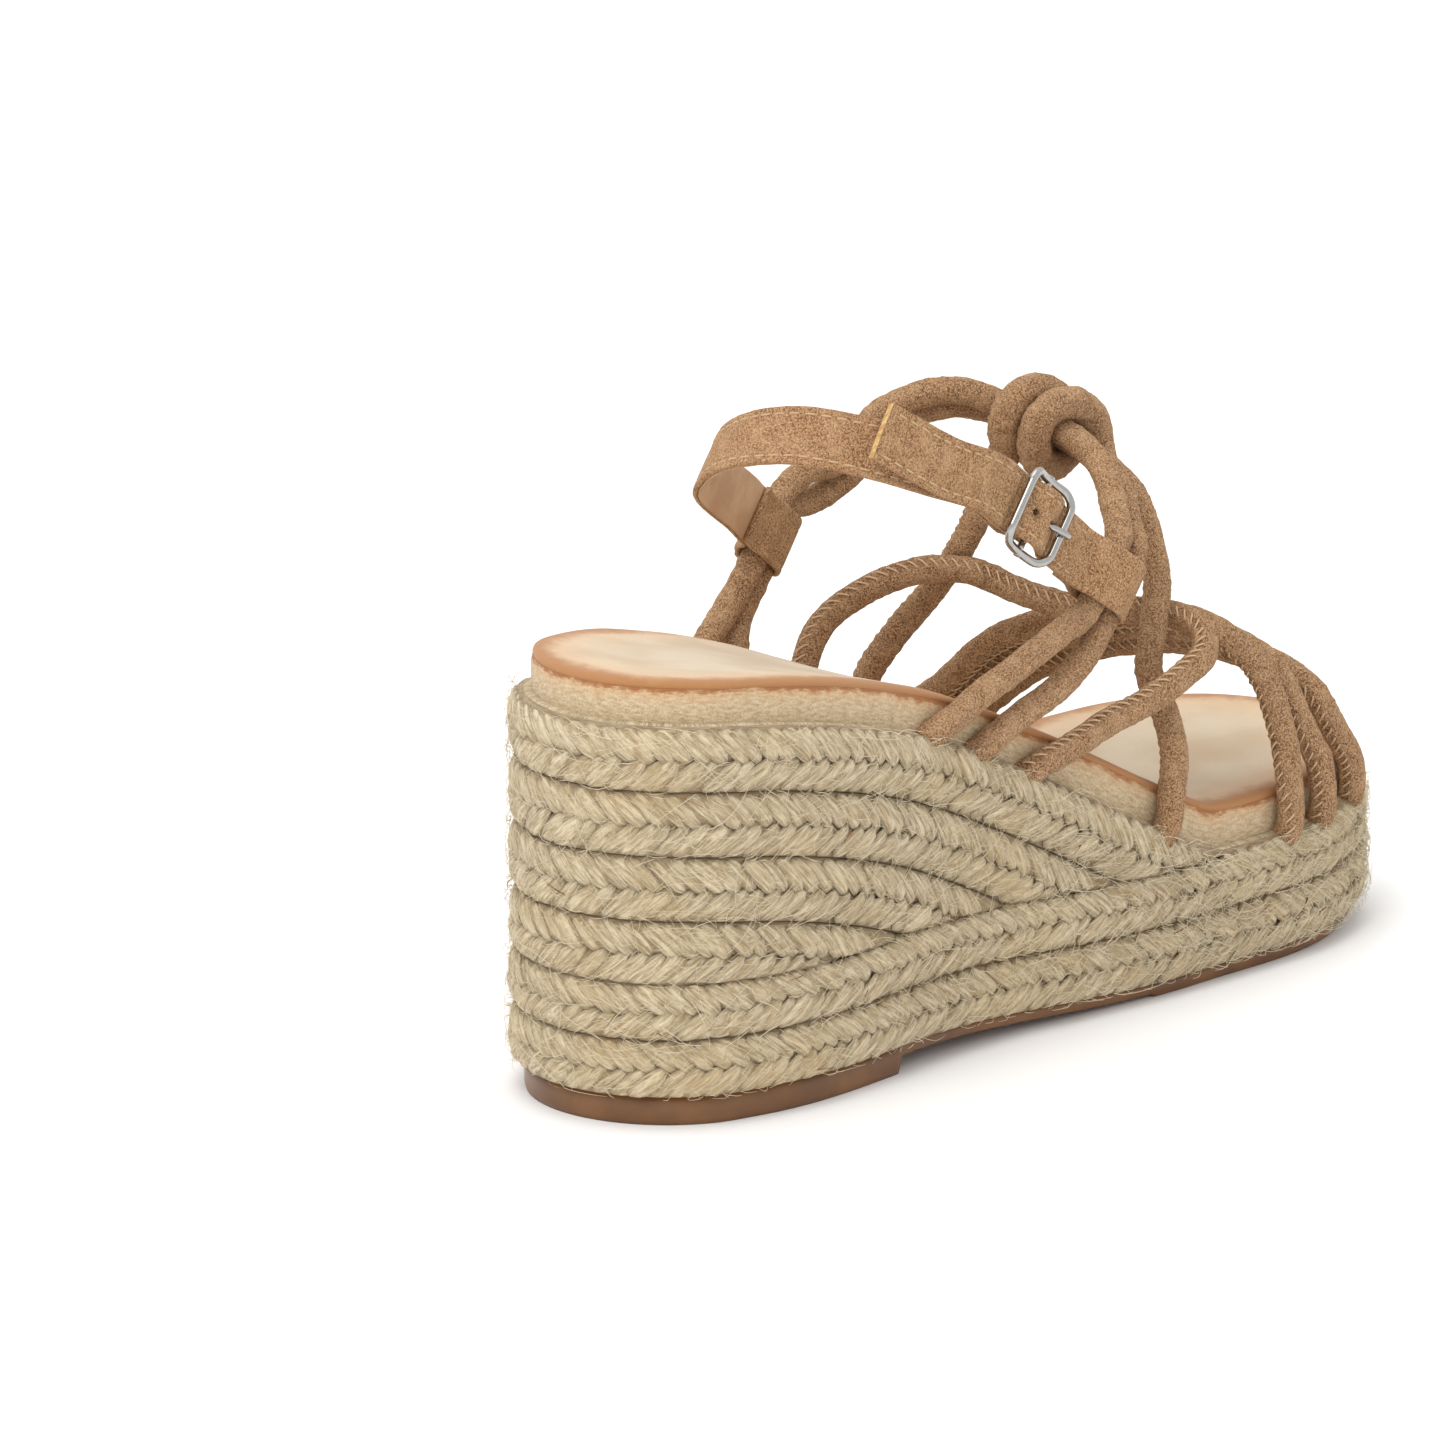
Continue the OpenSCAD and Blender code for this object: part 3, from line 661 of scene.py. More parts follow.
def plait(name, node, upper, lower, start, end, floor=None):
    """Two files of slanted lobes that meet in points along the middle of a row, over a bed."""
    course = row_course(upper, lower, start, end)
    a, z, half, run, slope = course
    shape = Shape()
    lean = 1 / np.sqrt(1 + slope * slope)
    count = int(run[-1] / PITCH)
    pitch = run[-1] / count
    for i in range(count):
        for side in (1, -1):
            at = (i + (0.25 if side > 0 else 0.75)) * pitch
            px, py, po, tint = lobe(at, float(np.interp(at, run, half * lean)), side)
            steep = np.interp(px, run, slope)
            level = 1 / np.sqrt(1 + steep * steep)
            past_ends = np.minimum(px, 0) + np.maximum(px - run[-1], 0)
            lobe_a = np.interp(px, run, a) - py * steep * level + past_ends
            lobe_z = np.interp(px, run, z) + py * level
            if floor is not None:
                ground = floor(edge(lobe_a, 0)[1]) + ROOM_OVER
                if np.mean(lobe_z - ground) < -LOST:
                    continue
                sunk = np.maximum(0, ground - lobe_z)
                lobe_z = lobe_z + sunk
                po = po - 0.6 * np.minimum(sunk, 2.5)
            x, s = edge(lobe_a, ROW_DEPTH - po)
            sweep = np.linspace(0, FIBRE_RUN, LOBE_STEPS)
            shape.grid(world(x, s, lobe_z), sweep, np.linspace(0, 10, LOBE_SIDES + 1), mark=tint)
    plait_bed(shape, course, floor)
    return shape.piece(name, [jute], stands_for=[node])


def platform_mid(s):
    return braid_base(s) + ROW


plait("plait_platform_lower", "platform_braid_lower", platform_mid, braid_base, 0, PERIMETER)
plait("plait_platform_upper", "platform_braid_upper", platform_top, platform_mid, 2.0, PERIMETER + 2.0)

sides_a = np.arange(-PERIMETER / 2, PERIMETER / 2, 0.5)
sides_s = edge(sides_a, 0)[1]
for k in range(1, WEDGE_ROWS + 1):
    above_platform = (row_line(k, sides_s) > platform_top(sides_s) + 0.6) & (sides_s < LENGTH - 40)
    reach = sides_a[above_platform]
    plait(
        f"plait_wedge_{k}",
        f"wedge_braid_{k}",
        lambda s, k=k: row_line(k, s),
        lambda s, k=k: row_line(k - 1, s),
        reach.min(),
        reach.max(),
        floor=platform_top,
    )


def hair(shape, length, steps, bend_by, radius, finish=0, low=0.4, high=1.5):
    """One hair laid over the plaits, its middle lifted off them."""
    a = rng.uniform(-PERIMETER / 2, PERIMETER / 2)
    s = float(edge(a, 0)[1])
    z = rng.uniform(float(braid_base(s)) + 0.5, float(wedge_top(s)))
    t = np.linspace(0, 1, steps)
    heading = rng.uniform(-0.9, 0.9) + (math.pi if rng.uniform() < 0.5 else 0)
    bend = rng.normal(0, bend_by) * length * 0.35 * t * t
    path_a = a + length * t * math.cos(heading) - bend * math.sin(heading)
    path_z = z + length * t * math.sin(heading) + bend * math.cos(heading)
    out = 0.3 + rng.uniform(low, high) * np.sin(np.pi * np.minimum(t * rng.uniform(0.5, 1.0), 1)) + 0.2 * t
    path_s = edge(path_a, 0)[1]
    path_z = np.clip(path_z, braid_base(path_s) + 0.3, wedge_top(path_s) + 0.8)
    ex, es = edge(path_a, -out)
    tube(shape, world(ex, es, path_z), radius * (1 - 0.5 * t), sides=3, finish=finish)


def stray_fibres():
    """Fine hairs that stand off the plaits, and a few brown shives."""
    shape = Shape()
    for _ in range(7000):
        hair(shape, rng.uniform(1.5, 5.0), 4, 1.1, rng.uniform(0.05, 0.095))
    for _ in range(1500):
        hair(shape, rng.uniform(5, 15), 7, 1.2, rng.uniform(0.055, 0.1), high=1.9)
    for _ in range(60):
        hair(shape, rng.uniform(2, 7), 4, 0.3, rng.uniform(0.12, 0.28), finish=1, low=0.5, high=0.9)
    return shape.piece("jute_fuzz", [fuzz, shive])


stray_fibres()

# ---------------------------------------------------------------- outsole


def sole_bottom(s):
    """Height of the rubber's underside: heel pad, recessed waist, forepart tread."""
    low = np.where(s < PAD_RUN, HEEL_PAD, np.where(s < TREAD_START, WAIST_RUBBER, FORE_RUBBER))
    return braid_base(s) - low


def middle_line(s):
    """Point of the sole's middle that a ring closes on, for a rim point at distance s."""
    inner_s = np.clip(s, HEEL_R, LENGTH - TOE_R)
    right = np.interp(inner_s, *side_profile(1))
    left = np.interp(inner_s, *side_profile(-1))
    return (right + left) / 2, inner_s


def side_profile(side):
    keep = plan[plan[:, 0] * side > 0]
    order = np.argsort(keep[:, 1])
    return keep[order, 1], keep[order, 0]


RIB_HIGH = 0.55
RIB_PITCH = 5.2


def outsole():
    shape = Shape()
    a = np.linspace(0, PERIMETER, 560, endpoint=False)
    rim_s = edge(a, RUBBER_INSET)[1]
    rings = []
    for inner, height in ((6, 1.0), (0, 1.0), (0, 0.55), (0, 0.2)):
        x, s = edge(a, RUBBER_INSET + inner)
        low = sole_bottom(s)
        rings.append(world(x, s, low + (braid_base(s) - low) * height))
    mid_x, mid_s = middle_line(rim_s)
    x, s = edge(a, RUBBER_INSET + 0.35)
    rings.append(world(x, s, sole_bottom(s)))
    for share in (0.04, 0.12, 0.25, 0.4, 0.55, 0.7, 0.85, 1.0):
        px, ps = x + share * (mid_x - x), s + share * (mid_s - s)
        tread = (ps < PAD_RUN - 2) | (ps > TREAD_START + 2)
        rib = RIB_HIGH * (np.sin(2 * np.pi * ps / RIB_PITCH) > 0.35) * tread
        rings.append(world(px, ps, sole_bottom(ps) + rib * min(1.0, share / 0.12)))
    rows = np.array(rings)
    shape.grid(rows, np.arange(len(rows)) * 3.0, np.append(a, PERIMETER), caps=False)
    return shape.piece("outsole_rubber", [rubber], stands_for=["outsole"])


outsole()

# ---------------------------------------------------------------- footbed


def footbed():
    a = np.linspace(0, PERIMETER, 640, endpoint=False)
    round_way = np.append(a, PERIMETER)
    x, s = edge(a, FOOTBED_INSET)
    lift, base = tilt(s), wedge_top(s)
    swell = 0.25 * soft_noise(world(x, s, base), 26, 3)
    # side wall from below the braid's top to the rounded top edge
    side = Shape()
    rings, drops = [], []
    for h, d in ((-2.0, 0.1), (0, 0), (2, -0.18), (4, -0.28), (6, -0.22), (7.2, -0.05), (8.0, 0.2)):
        rx, rs = edge(a, FOOTBED_INSET + d - 0.5 * swell * (h > 1) * (h < 7.9))
        rings.append(world(rx, rs, base + h * lift))
        drops.append(np.full(len(a), 8.6 - h))
    side.grid(np.array(rings), [0, 2, 4, 6, 8, 9.2, 10], round_way, caps=False, mark=np.array(drops))
    side.piece("footbed_side", [side_fabric], stands_for=["footbed_side_wrap"])
    # cover: rolled rim, then in to the middle
    top = Shape()
    rings, depths = [], []
    for d, h in ((0.6, 7.6), (0.1, 7.9), (-0.05, 8.3), (0.15, 8.85), (0.7, 9.3), (1.6, 9.5), (3.0, 9.5)):
        rx, rs = edge(a, FOOTBED_INSET + d)
        rings.append(world(rx, rs, wedge_top(rs) + h * tilt(rs) + 0.3 * swell))
        depths.append(np.full(len(a), max(d, 0.0)))
    rx, rs = edge(a, FOOTBED_INSET + 3.0)
    mid_x, mid_s = middle_line(s)
    reach = np.hypot(mid_x - rx, mid_s - rs)
    for share in (0.06, 0.13, 0.21, 0.3, 0.4, 0.52, 0.64, 0.76, 0.88, 1.0):
        px, ps = rx + share * (mid_x - rx), rs + share * (mid_s - rs)
        dish = -0.9 * ease(share * 1.3) * np.where(ps < 90, 1.0, 0.6)
        pillow = 0.15 * soft_noise(world(px, ps, 0 * px), 40, 5)
        rings.append(world(px, ps, wedge_top(ps) + (9.45 + dish) * tilt(ps) + pillow))
        depths.append(3.0 + share * reach)
    widths = np.cumsum([0.0, 0.6, 0.5, 0.6, 0.7, 0.9, 1.4, *([2.5] * 10)])
    top.grid(np.array(rings), widths, round_way, caps=False, mark=np.array(depths))
    made = top.piece("footbed_top", [cover], stands_for=["footbed_top_cover"])


footbed()

# ---------------------------------------------------------------- places over the foot


def over(x, s, h):
    return np.array([x, s - HEEL_R, float(wedge_top(float(s))) + h])


cord_x, cord_s = edge(np.linspace(0, PERIMETER, 900, endpoint=False), FOOTBED_INSET - CORD_R - CORD_GAP)


def against(side, s, h):
    keep = cord_x * side > 0
    order = np.argsort(cord_s[keep])
    return over(float(np.interp(s, cord_s[keep][order], cord_x[keep][order])), s, h)


BUCKLE_AT = over(35, 113, 57)
BUCKLE_PITCH = math.radians(37.7)
u_out = np.array([0, math.cos(BUCKLE_PITCH), -math.sin(BUCKLE_PITCH)])
w_out = np.array([1.0, 0, 0])
v_out = np.cross(u_out, w_out)
INNER_LOOP_AT = over(-33, 105, 38)
u_in = unit([0.33, -0.76, 0.56])
v_in = unit(np.array([0, -0.6, -0.8]) + 0.008 * u_in)
w_in = np.cross(v_in, u_in)

LAY_GAP = 0.2
BAR_DROP = -0.6
FRAME_RISE = 1.6
WIRE_R = 1.0
BAR_R = 0.8
BAR_GAP = 0.08
BAR_REACH = 8
ROCK = BAR_REACH * math.sin(math.radians(4))
CHAPE = 0.9
CHAPE_R = BAR_R + BAR_GAP + CHAPE
BILLET_LOW = FRAME_RISE - WIRE_R - LAY_GAP - ROCK - SUEDE
BILLET_HIGH = BAR_DROP + CHAPE_R + LAY_GAP + LINING
BILLET_MID = BILLET_LOW + (SUEDE - LINING) / 2
STRAP_LOW = BILLET_LOW - LINING - LAY_GAP - SUEDE
LOOP_REACH = 33
NECK = 12.3


def out_frame(u, w):
    return BUCKLE_AT + u * u_out + w * w_out


OUTER_LOOP_AT = out_frame(LOOP_REACH, BILLET_MID)
INNER_NECK_AT = INNER_LOOP_AT + NECK * u_in

# ---------------------------------------------------------------- cords

PAIR_HALF = CORD_R + 0.2
across_pair = unit([-0.1, 0.8, -0.59])
LOOP_HALF = STRAP_HALF + 2
pair_top = np.array(
    [
        over(28, 150, 68), over(17, 157, 79.5), over(7, 158.4, 84), over(-7, 155.5, 86.5),
        over(-16.5, 147, 85.5), over(-26, 135.5, 75), over(-31, 126.5, 60),
    ]
)


def beside_pair(k):
    t = directions(pair_top)
    return pair_top + k * unit(across_pair - (t @ across_pair)[:, None] * t)


def through(at, side, way):
    return [at + side + k * LOOP_HALF * way for k in (-1, 0, 1)]


rear_back_route = [
    against(1, 84, 3.4), against(1, 87.5, 5.6), against(1, 94, 11), over(34.8, 106, 21), over(35.3, 121, 34),
    *through(OUTER_LOOP_AT, -PAIR_HALF * u_out, -v_out),
    *beside_pair(-PAIR_HALF), over(-31.5, 117, 57),
    *through(INNER_LOOP_AT, PAIR_HALF * u_in, v_in),
    over(-32, 89, 17), against(-1, 81, 8), against(-1, 79, 1.5),
]
rear_front_route = [
    against(1, 99.5, 3.5), against(1, 103, 6.6), against(1, 108, 11.2), over(36, 119, 21),
    over(35.5, 129.5, 32),
    *through(OUTER_LOOP_AT, PAIR_HALF * u_out, -v_out),
    *beside_pair(PAIR_HALF), over(-33.5, 119, 50),
    *through(INNER_LOOP_AT, -PAIR_HALF * u_in, v_in),
    over(-33, 95, 17), against(-1, 90, 9), against(-1, 88, 1.5),
]

KNOT_AT = over(0, 157, 85)
knot_along = unit([-0.95, -0.2, 0.25])
knot_over = unit(np.cross(across_pair, knot_along))
TURN_WIDE = 2 * CORD_R + 4
TURN_HIGH = CORD_R + 4.2


def knot_turn(a):
    wide = across_pair * TURN_WIDE * math.cos(math.radians(a))
    high = knot_over * TURN_HIGH * math.sin(math.radians(a))
    return KNOT_AT + wide + high + knot_along * (-8 + 12 * (a - 40) / 580)


knot_route = [
    against(1, 152, 1.5), against(1, 153, 8), over(39, 155, 19), over(36, 155.5, 27), over(32, 155, 35),
    over(29.5, 159, 45.5), over(27, 163.5, 56), over(22, 167, 66), over(15, 168.5, 76),
    over(10, 166.5, 80.5),
    *[knot_turn(a) for a in range(40, 621, 29)],
    KNOT_AT + 6 * knot_along - 13 * knot_over + 2 * across_pair,
    over(-14, 148, 54), over(-20, 146.5, 43.5), over(-28.5, 141.5, 28), over(-34.8, 139.5, 16),
    against(-1, 140, 8), against(-1, 140, 1.5),
]
arch_route = [
    against(1, 115.5, 3.4), against(1, 119, 6), against(1, 126, 11.6), over(37, 134, 18),
    over(39, 144, 26), over(41, 155, 36), over(40.5, 163, 43), over(36.5, 167, 48.3), over(30, 167.5, 50),
    over(22, 164, 49.5), over(10, 156, 46), over(0, 150, 46), over(-10, 144, 47), over(-18, 138, 43.6),
    over(-26, 128, 34), over(-31, 120, 23), against(-1, 114, 9), against(-1, 112, 1.5),
]
toe_rear_route = [
    against(1, 191, 1.5), against(1, 191, 10), over(39.5, 190.5, 24), over(36, 187, 37), over(31, 180, 45.5),
    over(24, 173.5, 49), over(16, 168.2, 48.3), over(2, 163.5, 44.5), over(-14, 159, 35.5),
    over(-27, 157, 22.5), against(-1, 157, 11), against(-1, 157, 1.5),
]
toe_middle_route = [
    against(1, 203, 1.5), against(1, 202.5, 11), over(37.5, 199, 23), over(33, 194, 36), over(27, 187, 42),
    over(18, 177.5, 45), over(3, 169, 42), over(-13.5, 165, 34), over(-27, 163.5, 21),
    against(-1, 164.5, 10), against(-1, 165, 1.5),
]
toe_front_route = [
    against(1, 219, 1.5), against(1, 218, 8), over(36.8, 212, 17.5), over(35, 206, 27.5),
    over(30.5, 202, 32.5),
    over(25.5, 194.5, 36.5), over(17.5, 185, 40), over(3.5, 175.5, 38.5), over(-13, 172, 31),
    over(-28.5, 171, 19), against(-1, 172.5, 10), against(-1, 173, 1.5),
]

CORD_SIDES = 28
CORD_ROUND = 18.8
KNOT_ROOM = 15
WHIP_PITCH = 2.3
WHIP_HALF = 0.42
THREAD_R = 0.23


def tucked(end, before):
    """Point past a route's end, in the seam between the footbed's side and the braid."""
    ahead = unit(end - before)
    return end + 4.5 * ahead + np.array([-2.4 * np.sign(end[0]), 0, -2.6 - 2.6 * ahead[2]])


def seam_angle(n, b, seam_way):
    """Angle round the cord at which its seam lies, eased along the cord."""
    seam = np.unwrap(np.arctan2(b @ unit(seam_way), n @ unit(seam_way)))
    ease_over = np.ones(35) / 35
    return np.convolve(np.pad(seam, 17, mode="edge"), ease_over, mode="valid")


def cord(name, node, route, seam_way, seed, swell=0.0):
    """Rolled suede cord with its whipped seam turned towards seam_way. It swells in the knot."""
    shape = Shape()
    ends = tucked(route[0], route[1]), tucked(route[-1], route[-2])
    path = spaced(smooth([ends[0], *route, ends[1]], 12), 0.65)
    _, n, b = carried(path)
    seam = seam_angle(n, b, seam_way)
    run = along(path)
    a = np.arange(CORD_SIDES) * 2 * np.pi / CORD_SIDES
    away = np.angle(np.exp(1j * (a[None, :] - seam[:, None])))
    groove = np.exp(-((away / 0.2) ** 2))
    lips = np.exp(-(((np.abs(away) - WHIP_HALF) / 0.22) ** 2))
    whip = 0.5 + 0.5 * np.sin(2 * np.pi * run / WHIP_PITCH)[:, None]
    ring = np.cos(a)[None, :, None] * n[:, None] + np.sin(a)[None, :, None] * b[:, None]
    skin = path[:, None] + CORD_R * ring
    r = CORD_R * (1.0 + 0.02 * soft_noise(skin, 7, seed)) + 0.08 * soft_noise(skin, 2.4, seed + 1)
    r = r + 0.05 * soft_noise(skin, 1.4, seed + 2) - 0.5 * groove + 0.34 * lips * whip
    r = r * (1 + swell * ease((KNOT_ROOM - np.linalg.norm(path - KNOT_AT, axis=1)) / 5))[:, None]
    shape.grid(path[:, None] + r[..., None] * ring, run, np.linspace(0, CORD_ROUND, CORD_SIDES + 1))

    def on_skin(length, angle, out):
        """Point out above the skin, at an angle from the seam."""
        length = min(max(length, 0), run[-1])
        centre, side_n, side_b = (
            np.array([np.interp(length, run, line[:, c]) for c in range(3)]) for line in (path, n, b)
        )
        turn = np.interp(length, run, seam) + angle
        return centre + (CORD_R + out) * (math.cos(turn) * unit(side_n) + math.sin(turn) * unit(side_b))

    bow = ((-1, -0.22), (-0.5, 0.12), (0, 0.12), (0.5, 0.12), (1, -0.22))
    for at in np.arange(3.0, run[-1] - 3.0, WHIP_PITCH):
        stitch = [on_skin(at + 1.1 * k, WHIP_HALF * k, out) for k, out in bow]
        tube(shape, np.array(stitch), THREAD_R, sides=5, finish=1)
    return shape.piece(name, [cord_suede, seam_thread], stands_for=[node])


DOWN_IN = (0.1, -0.2, -1.0)
REARWARD = (0.25, -1.0, 0.1)
cord("rear_cord_back_rolled", "rear_cord_back", rear_back_route, (-0.6, 0.3, -0.7), 11)
cord("rear_cord_front_rolled", "rear_cord_front", rear_front_route, (-0.5, 0.6, -0.6), 13)
cord("knot_cord_rolled", "knot_cord", knot_route, (-0.9, -0.1, -0.3), 17, swell=0.2)
cord("arch_cord_rolled", "arch_cord", arch_route, (0.1, -0.7, 0.6), 19)
cord("toe_cord_rear_rolled", "toe_cord_rear", toe_rear_route, DOWN_IN, 23)
cord("toe_cord_middle_rolled", "toe_cord_middle", toe_middle_route, REARWARD, 29)
cord("toe_cord_front_rolled", "toe_cord_front", toe_front_route, REARWARD, 31)

# ---------------------------------------------------------------- straps

STITCH_IN = 1.7
STITCH_STEP = 3.3
STITCH_LONG = 2.2
LINING_BACK = 0.15
GLUE = 0.04
FOLD_GAP = 0.1


def ribbon(shape, path, wide, face, half, low, high, finish=0, shift=0.0, groove=True):
    """Flat strap along a path: wide is its width direction, and face its outer side, at each point."""
    inset = half - STITCH_IN
    dip = 0.14 if groove else 0.0
    top = [
        (half, high - 0.3), (half - 0.12, high - 0.09), (half - 0.5, high), (inset + 0.5, high),
        (inset, high - dip), (inset - 0.5, high), (0, high),
    ]
    top = top + [(-c, h) for c, h in top[-2::-1]]
    bottom = [(-half, low + 0.15), (-half + 0.4, low), (0, low), (half - 0.4, low), (half, low + 0.15)]
    profile = np.array(top + bottom)
    rows = path[:, None] + (profile[:, 0] + shift)[None, :, None] * wide[:, None]
    rows = rows + profile[:, 1][None, :, None] * face[:, None]
    rows = rows + (0.06 * soft_noise(rows, 3.5, 5))[..., None] * face[:, None]
    round_way = np.concatenate([[0], np.cumsum(np.linalg.norm(np.diff(profile, axis=0), axis=1))])
    shape.grid(rows, along(path), np.append(round_way, round_way[-1] + 1), finish=finish)


def stitches(shape, path, wide, face, start, end, finish=1):
    """Two rows of stitches near the strap's edges."""
    run = along(path)

    def at(length, across, out):
        spot = [np.interp(length, run, path[:, c]) for c in range(3)]
        side = [np.interp(length, run, wide[:, c]) for c in range(3)]
        top = [np.interp(length, run, face[:, c]) for c in range(3)]
        return np.array(spot) + across * np.array(side) + out * np.array(top)

    for side in (-1, 1):
        for first in np.arange(start, end - STITCH_LONG, STITCH_STEP):
            line = [
                at(first + k * STITCH_LONG, side * (STRAP_HALF - STITCH_IN) + 0.1 * (k - 0.5), SUEDE + out)
                for k, out in ((0, -0.38), (0.12, -0.12), (0.5, -0.05), (0.88, -0.12), (1, -0.38))
            ]
            tube(shape, np.array(line), 0.22, sides=6, finish=finish)


def loop_course(at, u, w, gap):
    """Fold of strap round the two cords, from its tucked end to the neck on its outer side."""
    r = CORD_R + 0.15 + gap
    corners = (
        (1, 0, -1), (0, 0, -1.15), (-1, 0, -1), (-1, -0.707, -0.707), (-1, -1, 0), (-1, -0.707, 0.707),
        (-1, 0, 1), (0, 0, 1.3), (1, 0, 1.05),
    )
    turns = [at + (CORD_R * c + r * x) * u + r * y * w for c, x, y in corners]
    tail = [
        at + (NECK + 4) * u - (gap + 1.0) * w,
        at + (NECK - 1) * u - (gap + 0.9) * w,
        at + 7.4 * u - 2.6 * w,
    ]
    return [*tail, *turns, at + 7.2 * u + 2.4 * w]


# Heel strap: inner fold, round the heel, to the buckle's bar
heel_line = [
    INNER_NECK_AT - 1.5 * u_in - 0.2 * w_in, INNER_NECK_AT + 6 * u_in,
    over(-19, 69, 49), over(-12, 64.5, 53), over(-2, 62, 57), over(9, 64.5, 60), over(22, 73, 60.5),
    over(28.5, 86, 60), out_frame(-14, STRAP_LOW), out_frame(-6.5, STRAP_LOW),
    out_frame(-3, STRAP_LOW + 0.5), out_frame(-1.2, BAR_DROP - 1.6),
]
STRAP_UP = np.array([0, 0.6, 0.8])


def lining_under(shape, path, wide, face):
    """Lining on the strap's inner side, set back a little from its edges."""
    half = STRAP_HALF - LINING_BACK
    ribbon(shape, path, wide, face, half, -LINING, -GLUE, finish=2, groove=False)


def turned_to(path, share, folded):
    """Width direction of a strap: along folded at its fold, and along STRAP_UP where share is 1."""
    t = directions(path)
    up = (1 - share)[:, None] * folded + share[:, None] * STRAP_UP
    return t, unit(up - np.sum(up * t, axis=1)[:, None] * t)


def blended(made, start, end):
    """Bakes the piece's placement into its mesh. start and end are not used."""
    tuple(start * MM)
    tuple(end * MM)
    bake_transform(made)


LOOP_END = 9
NECK_END = 17


def heel_strap():
    """Suede over lining, from the fold round the inner cords to the buckle's bar."""
    shape = Shape()
    fold = loop_course(INNER_LOOP_AT, u_in, w_in, FOLD_GAP)
    path = spaced(smooth([*fold, *heel_line], 8), 0.8)
    run = along(path)
    from_neck = np.linalg.norm(path - INNER_NECK_AT - w_in, axis=1)
    neck_at = run[np.argmin(from_neck + 30 * (run < 25))]
    t, wide = turned_to(path, ease((run - neck_at - 2) / 22), -v_in)
    face = np.cross(t, wide)
    ribbon(shape, path, wide, face, STRAP_HALF, 0, SUEDE)
    lined = (run >= neck_at + 1) & (run <= run[-1] - 4)
    lining_under(shape, path[lined], wide[lined], face[lined])
    stitches(shape, path, wide, face, neck_at + 3, run[-1] - 5)
    made = shape.piece(
        "heel_strap_suede",
        [suede, thread, lining],
        body=None,
        stands_for=["heel_strap", "heel_strap_lining", "medial_loop"],
    )
    blended(made, INNER_LOOP_AT + LOOP_END * u_in, INNER_LOOP_AT + NECK_END * u_in)


heel_strap()

# Billet: outer fold, through the buckle, then its free end
TIP_PIVOT = -BAR_REACH - 2.4
BILLET_DIP = 0.12
BILLET_SLOPE = (BILLET_LOW + BILLET_HIGH) / 2 + 0.3
billet_wave = [
    (BAR_REACH + 3, BILLET_LOW), (BAR_REACH, BILLET_LOW - BILLET_DIP), (BAR_REACH / 2, BILLET_SLOPE),
    (0, BILLET_HIGH), (-BAR_REACH / 2, BILLET_SLOPE), (-BAR_REACH, BILLET_LOW - BILLET_DIP),
]
tip_line = [
    out_frame(TIP_PIVOT, BILLET_LOW), out_frame(TIP_PIVOT - 4, BILLET_LOW),
    over(32.2, 87, 60.5), over(27, 71, 65),
]
PRONG_SLOT_AT = 4.2
PRONG_SLOT_R = 0.98
PRONG_SLOT_LONG = 3.4
SPARE_HOLE_AT = -0.4 * BAR_REACH
SPARE_HOLE_R = 0.9


def punch(made, at, way, length_way, radius, long=0.0):
    """Cuts a round hole, or a slot that runs along length_way, through a strap piece."""
    side = np.cross(way, length_way)
    a = np.linspace(0, 2 * np.pi, 20, endpoint=False)
    ring = radius * (np.cos(a)[:, None] * length_way + np.sin(a)[:, None] * side)
    ring = ring + np.where(np.cos(a) > 0, 1, -1)[:, None] * long / 2 * length_way
    cutter = Shape()
    cutter.grid(np.stack([at - 4 * way + ring, at + 4 * way + ring]), [0, 8], np.linspace(0, 6, 21))
    tool = cutter.piece("hole_cutter", [cut_edge], body="root")
    cut = made.modifiers.new("holes", "BOOLEAN")
    cut.object, cut.solver, cut.operation = tool, "EXACT", "DIFFERENCE"
    graph = bpy.context.evaluated_depsgraph_get()
    done = bpy.data.meshes.new_from_object(made.evaluated_get(graph))
    made.modifiers.clear()
    made.data = done
    bpy.data.objects.remove(tool, do_unlink=True)


def sewn_on(made, *others):
    """Joins threads and cut ends to the strap that they sit on."""
    with bpy.context.temp_override(active_object=made, selected_editable_objects=[made, *others]):
        bpy.ops.object.join()


def billet_through(path, wide, face, neck_run):
    """Billet from its fold round the outer cords to the back of the buckle."""
    run = along(path)
    shape = Shape()
    ribbon(shape, path, wide, face, STRAP_HALF, 0, SUEDE)
    lined = run >= neck_run
    lining_under(shape, path[lined], wide[lined], face[lined])
    made = shape.piece("billet_body", [suede, thread, lining], body=None)
    punch(made, out_frame(PRONG_SLOT_AT, 1.0), w_out, u_out, PRONG_SLOT_R, PRONG_SLOT_LONG)
    punch(made, out_frame(SPARE_HOLE_AT, 1.0), w_out, u_out, SPARE_HOLE_R)
    sewn = Shape()
    stitches(sewn, path, wide, face, neck_run + 2, run[-1] - 1, finish=0)
    sewn_on(made, sewn.piece("billet_stitches", [thread], body=None))
    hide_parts("billet", "billet_lining", "lateral_loop")
    blended(made, OUTER_LOOP_AT - LOOP_END * u_out, OUTER_LOOP_AT - NECK_END * u_out)


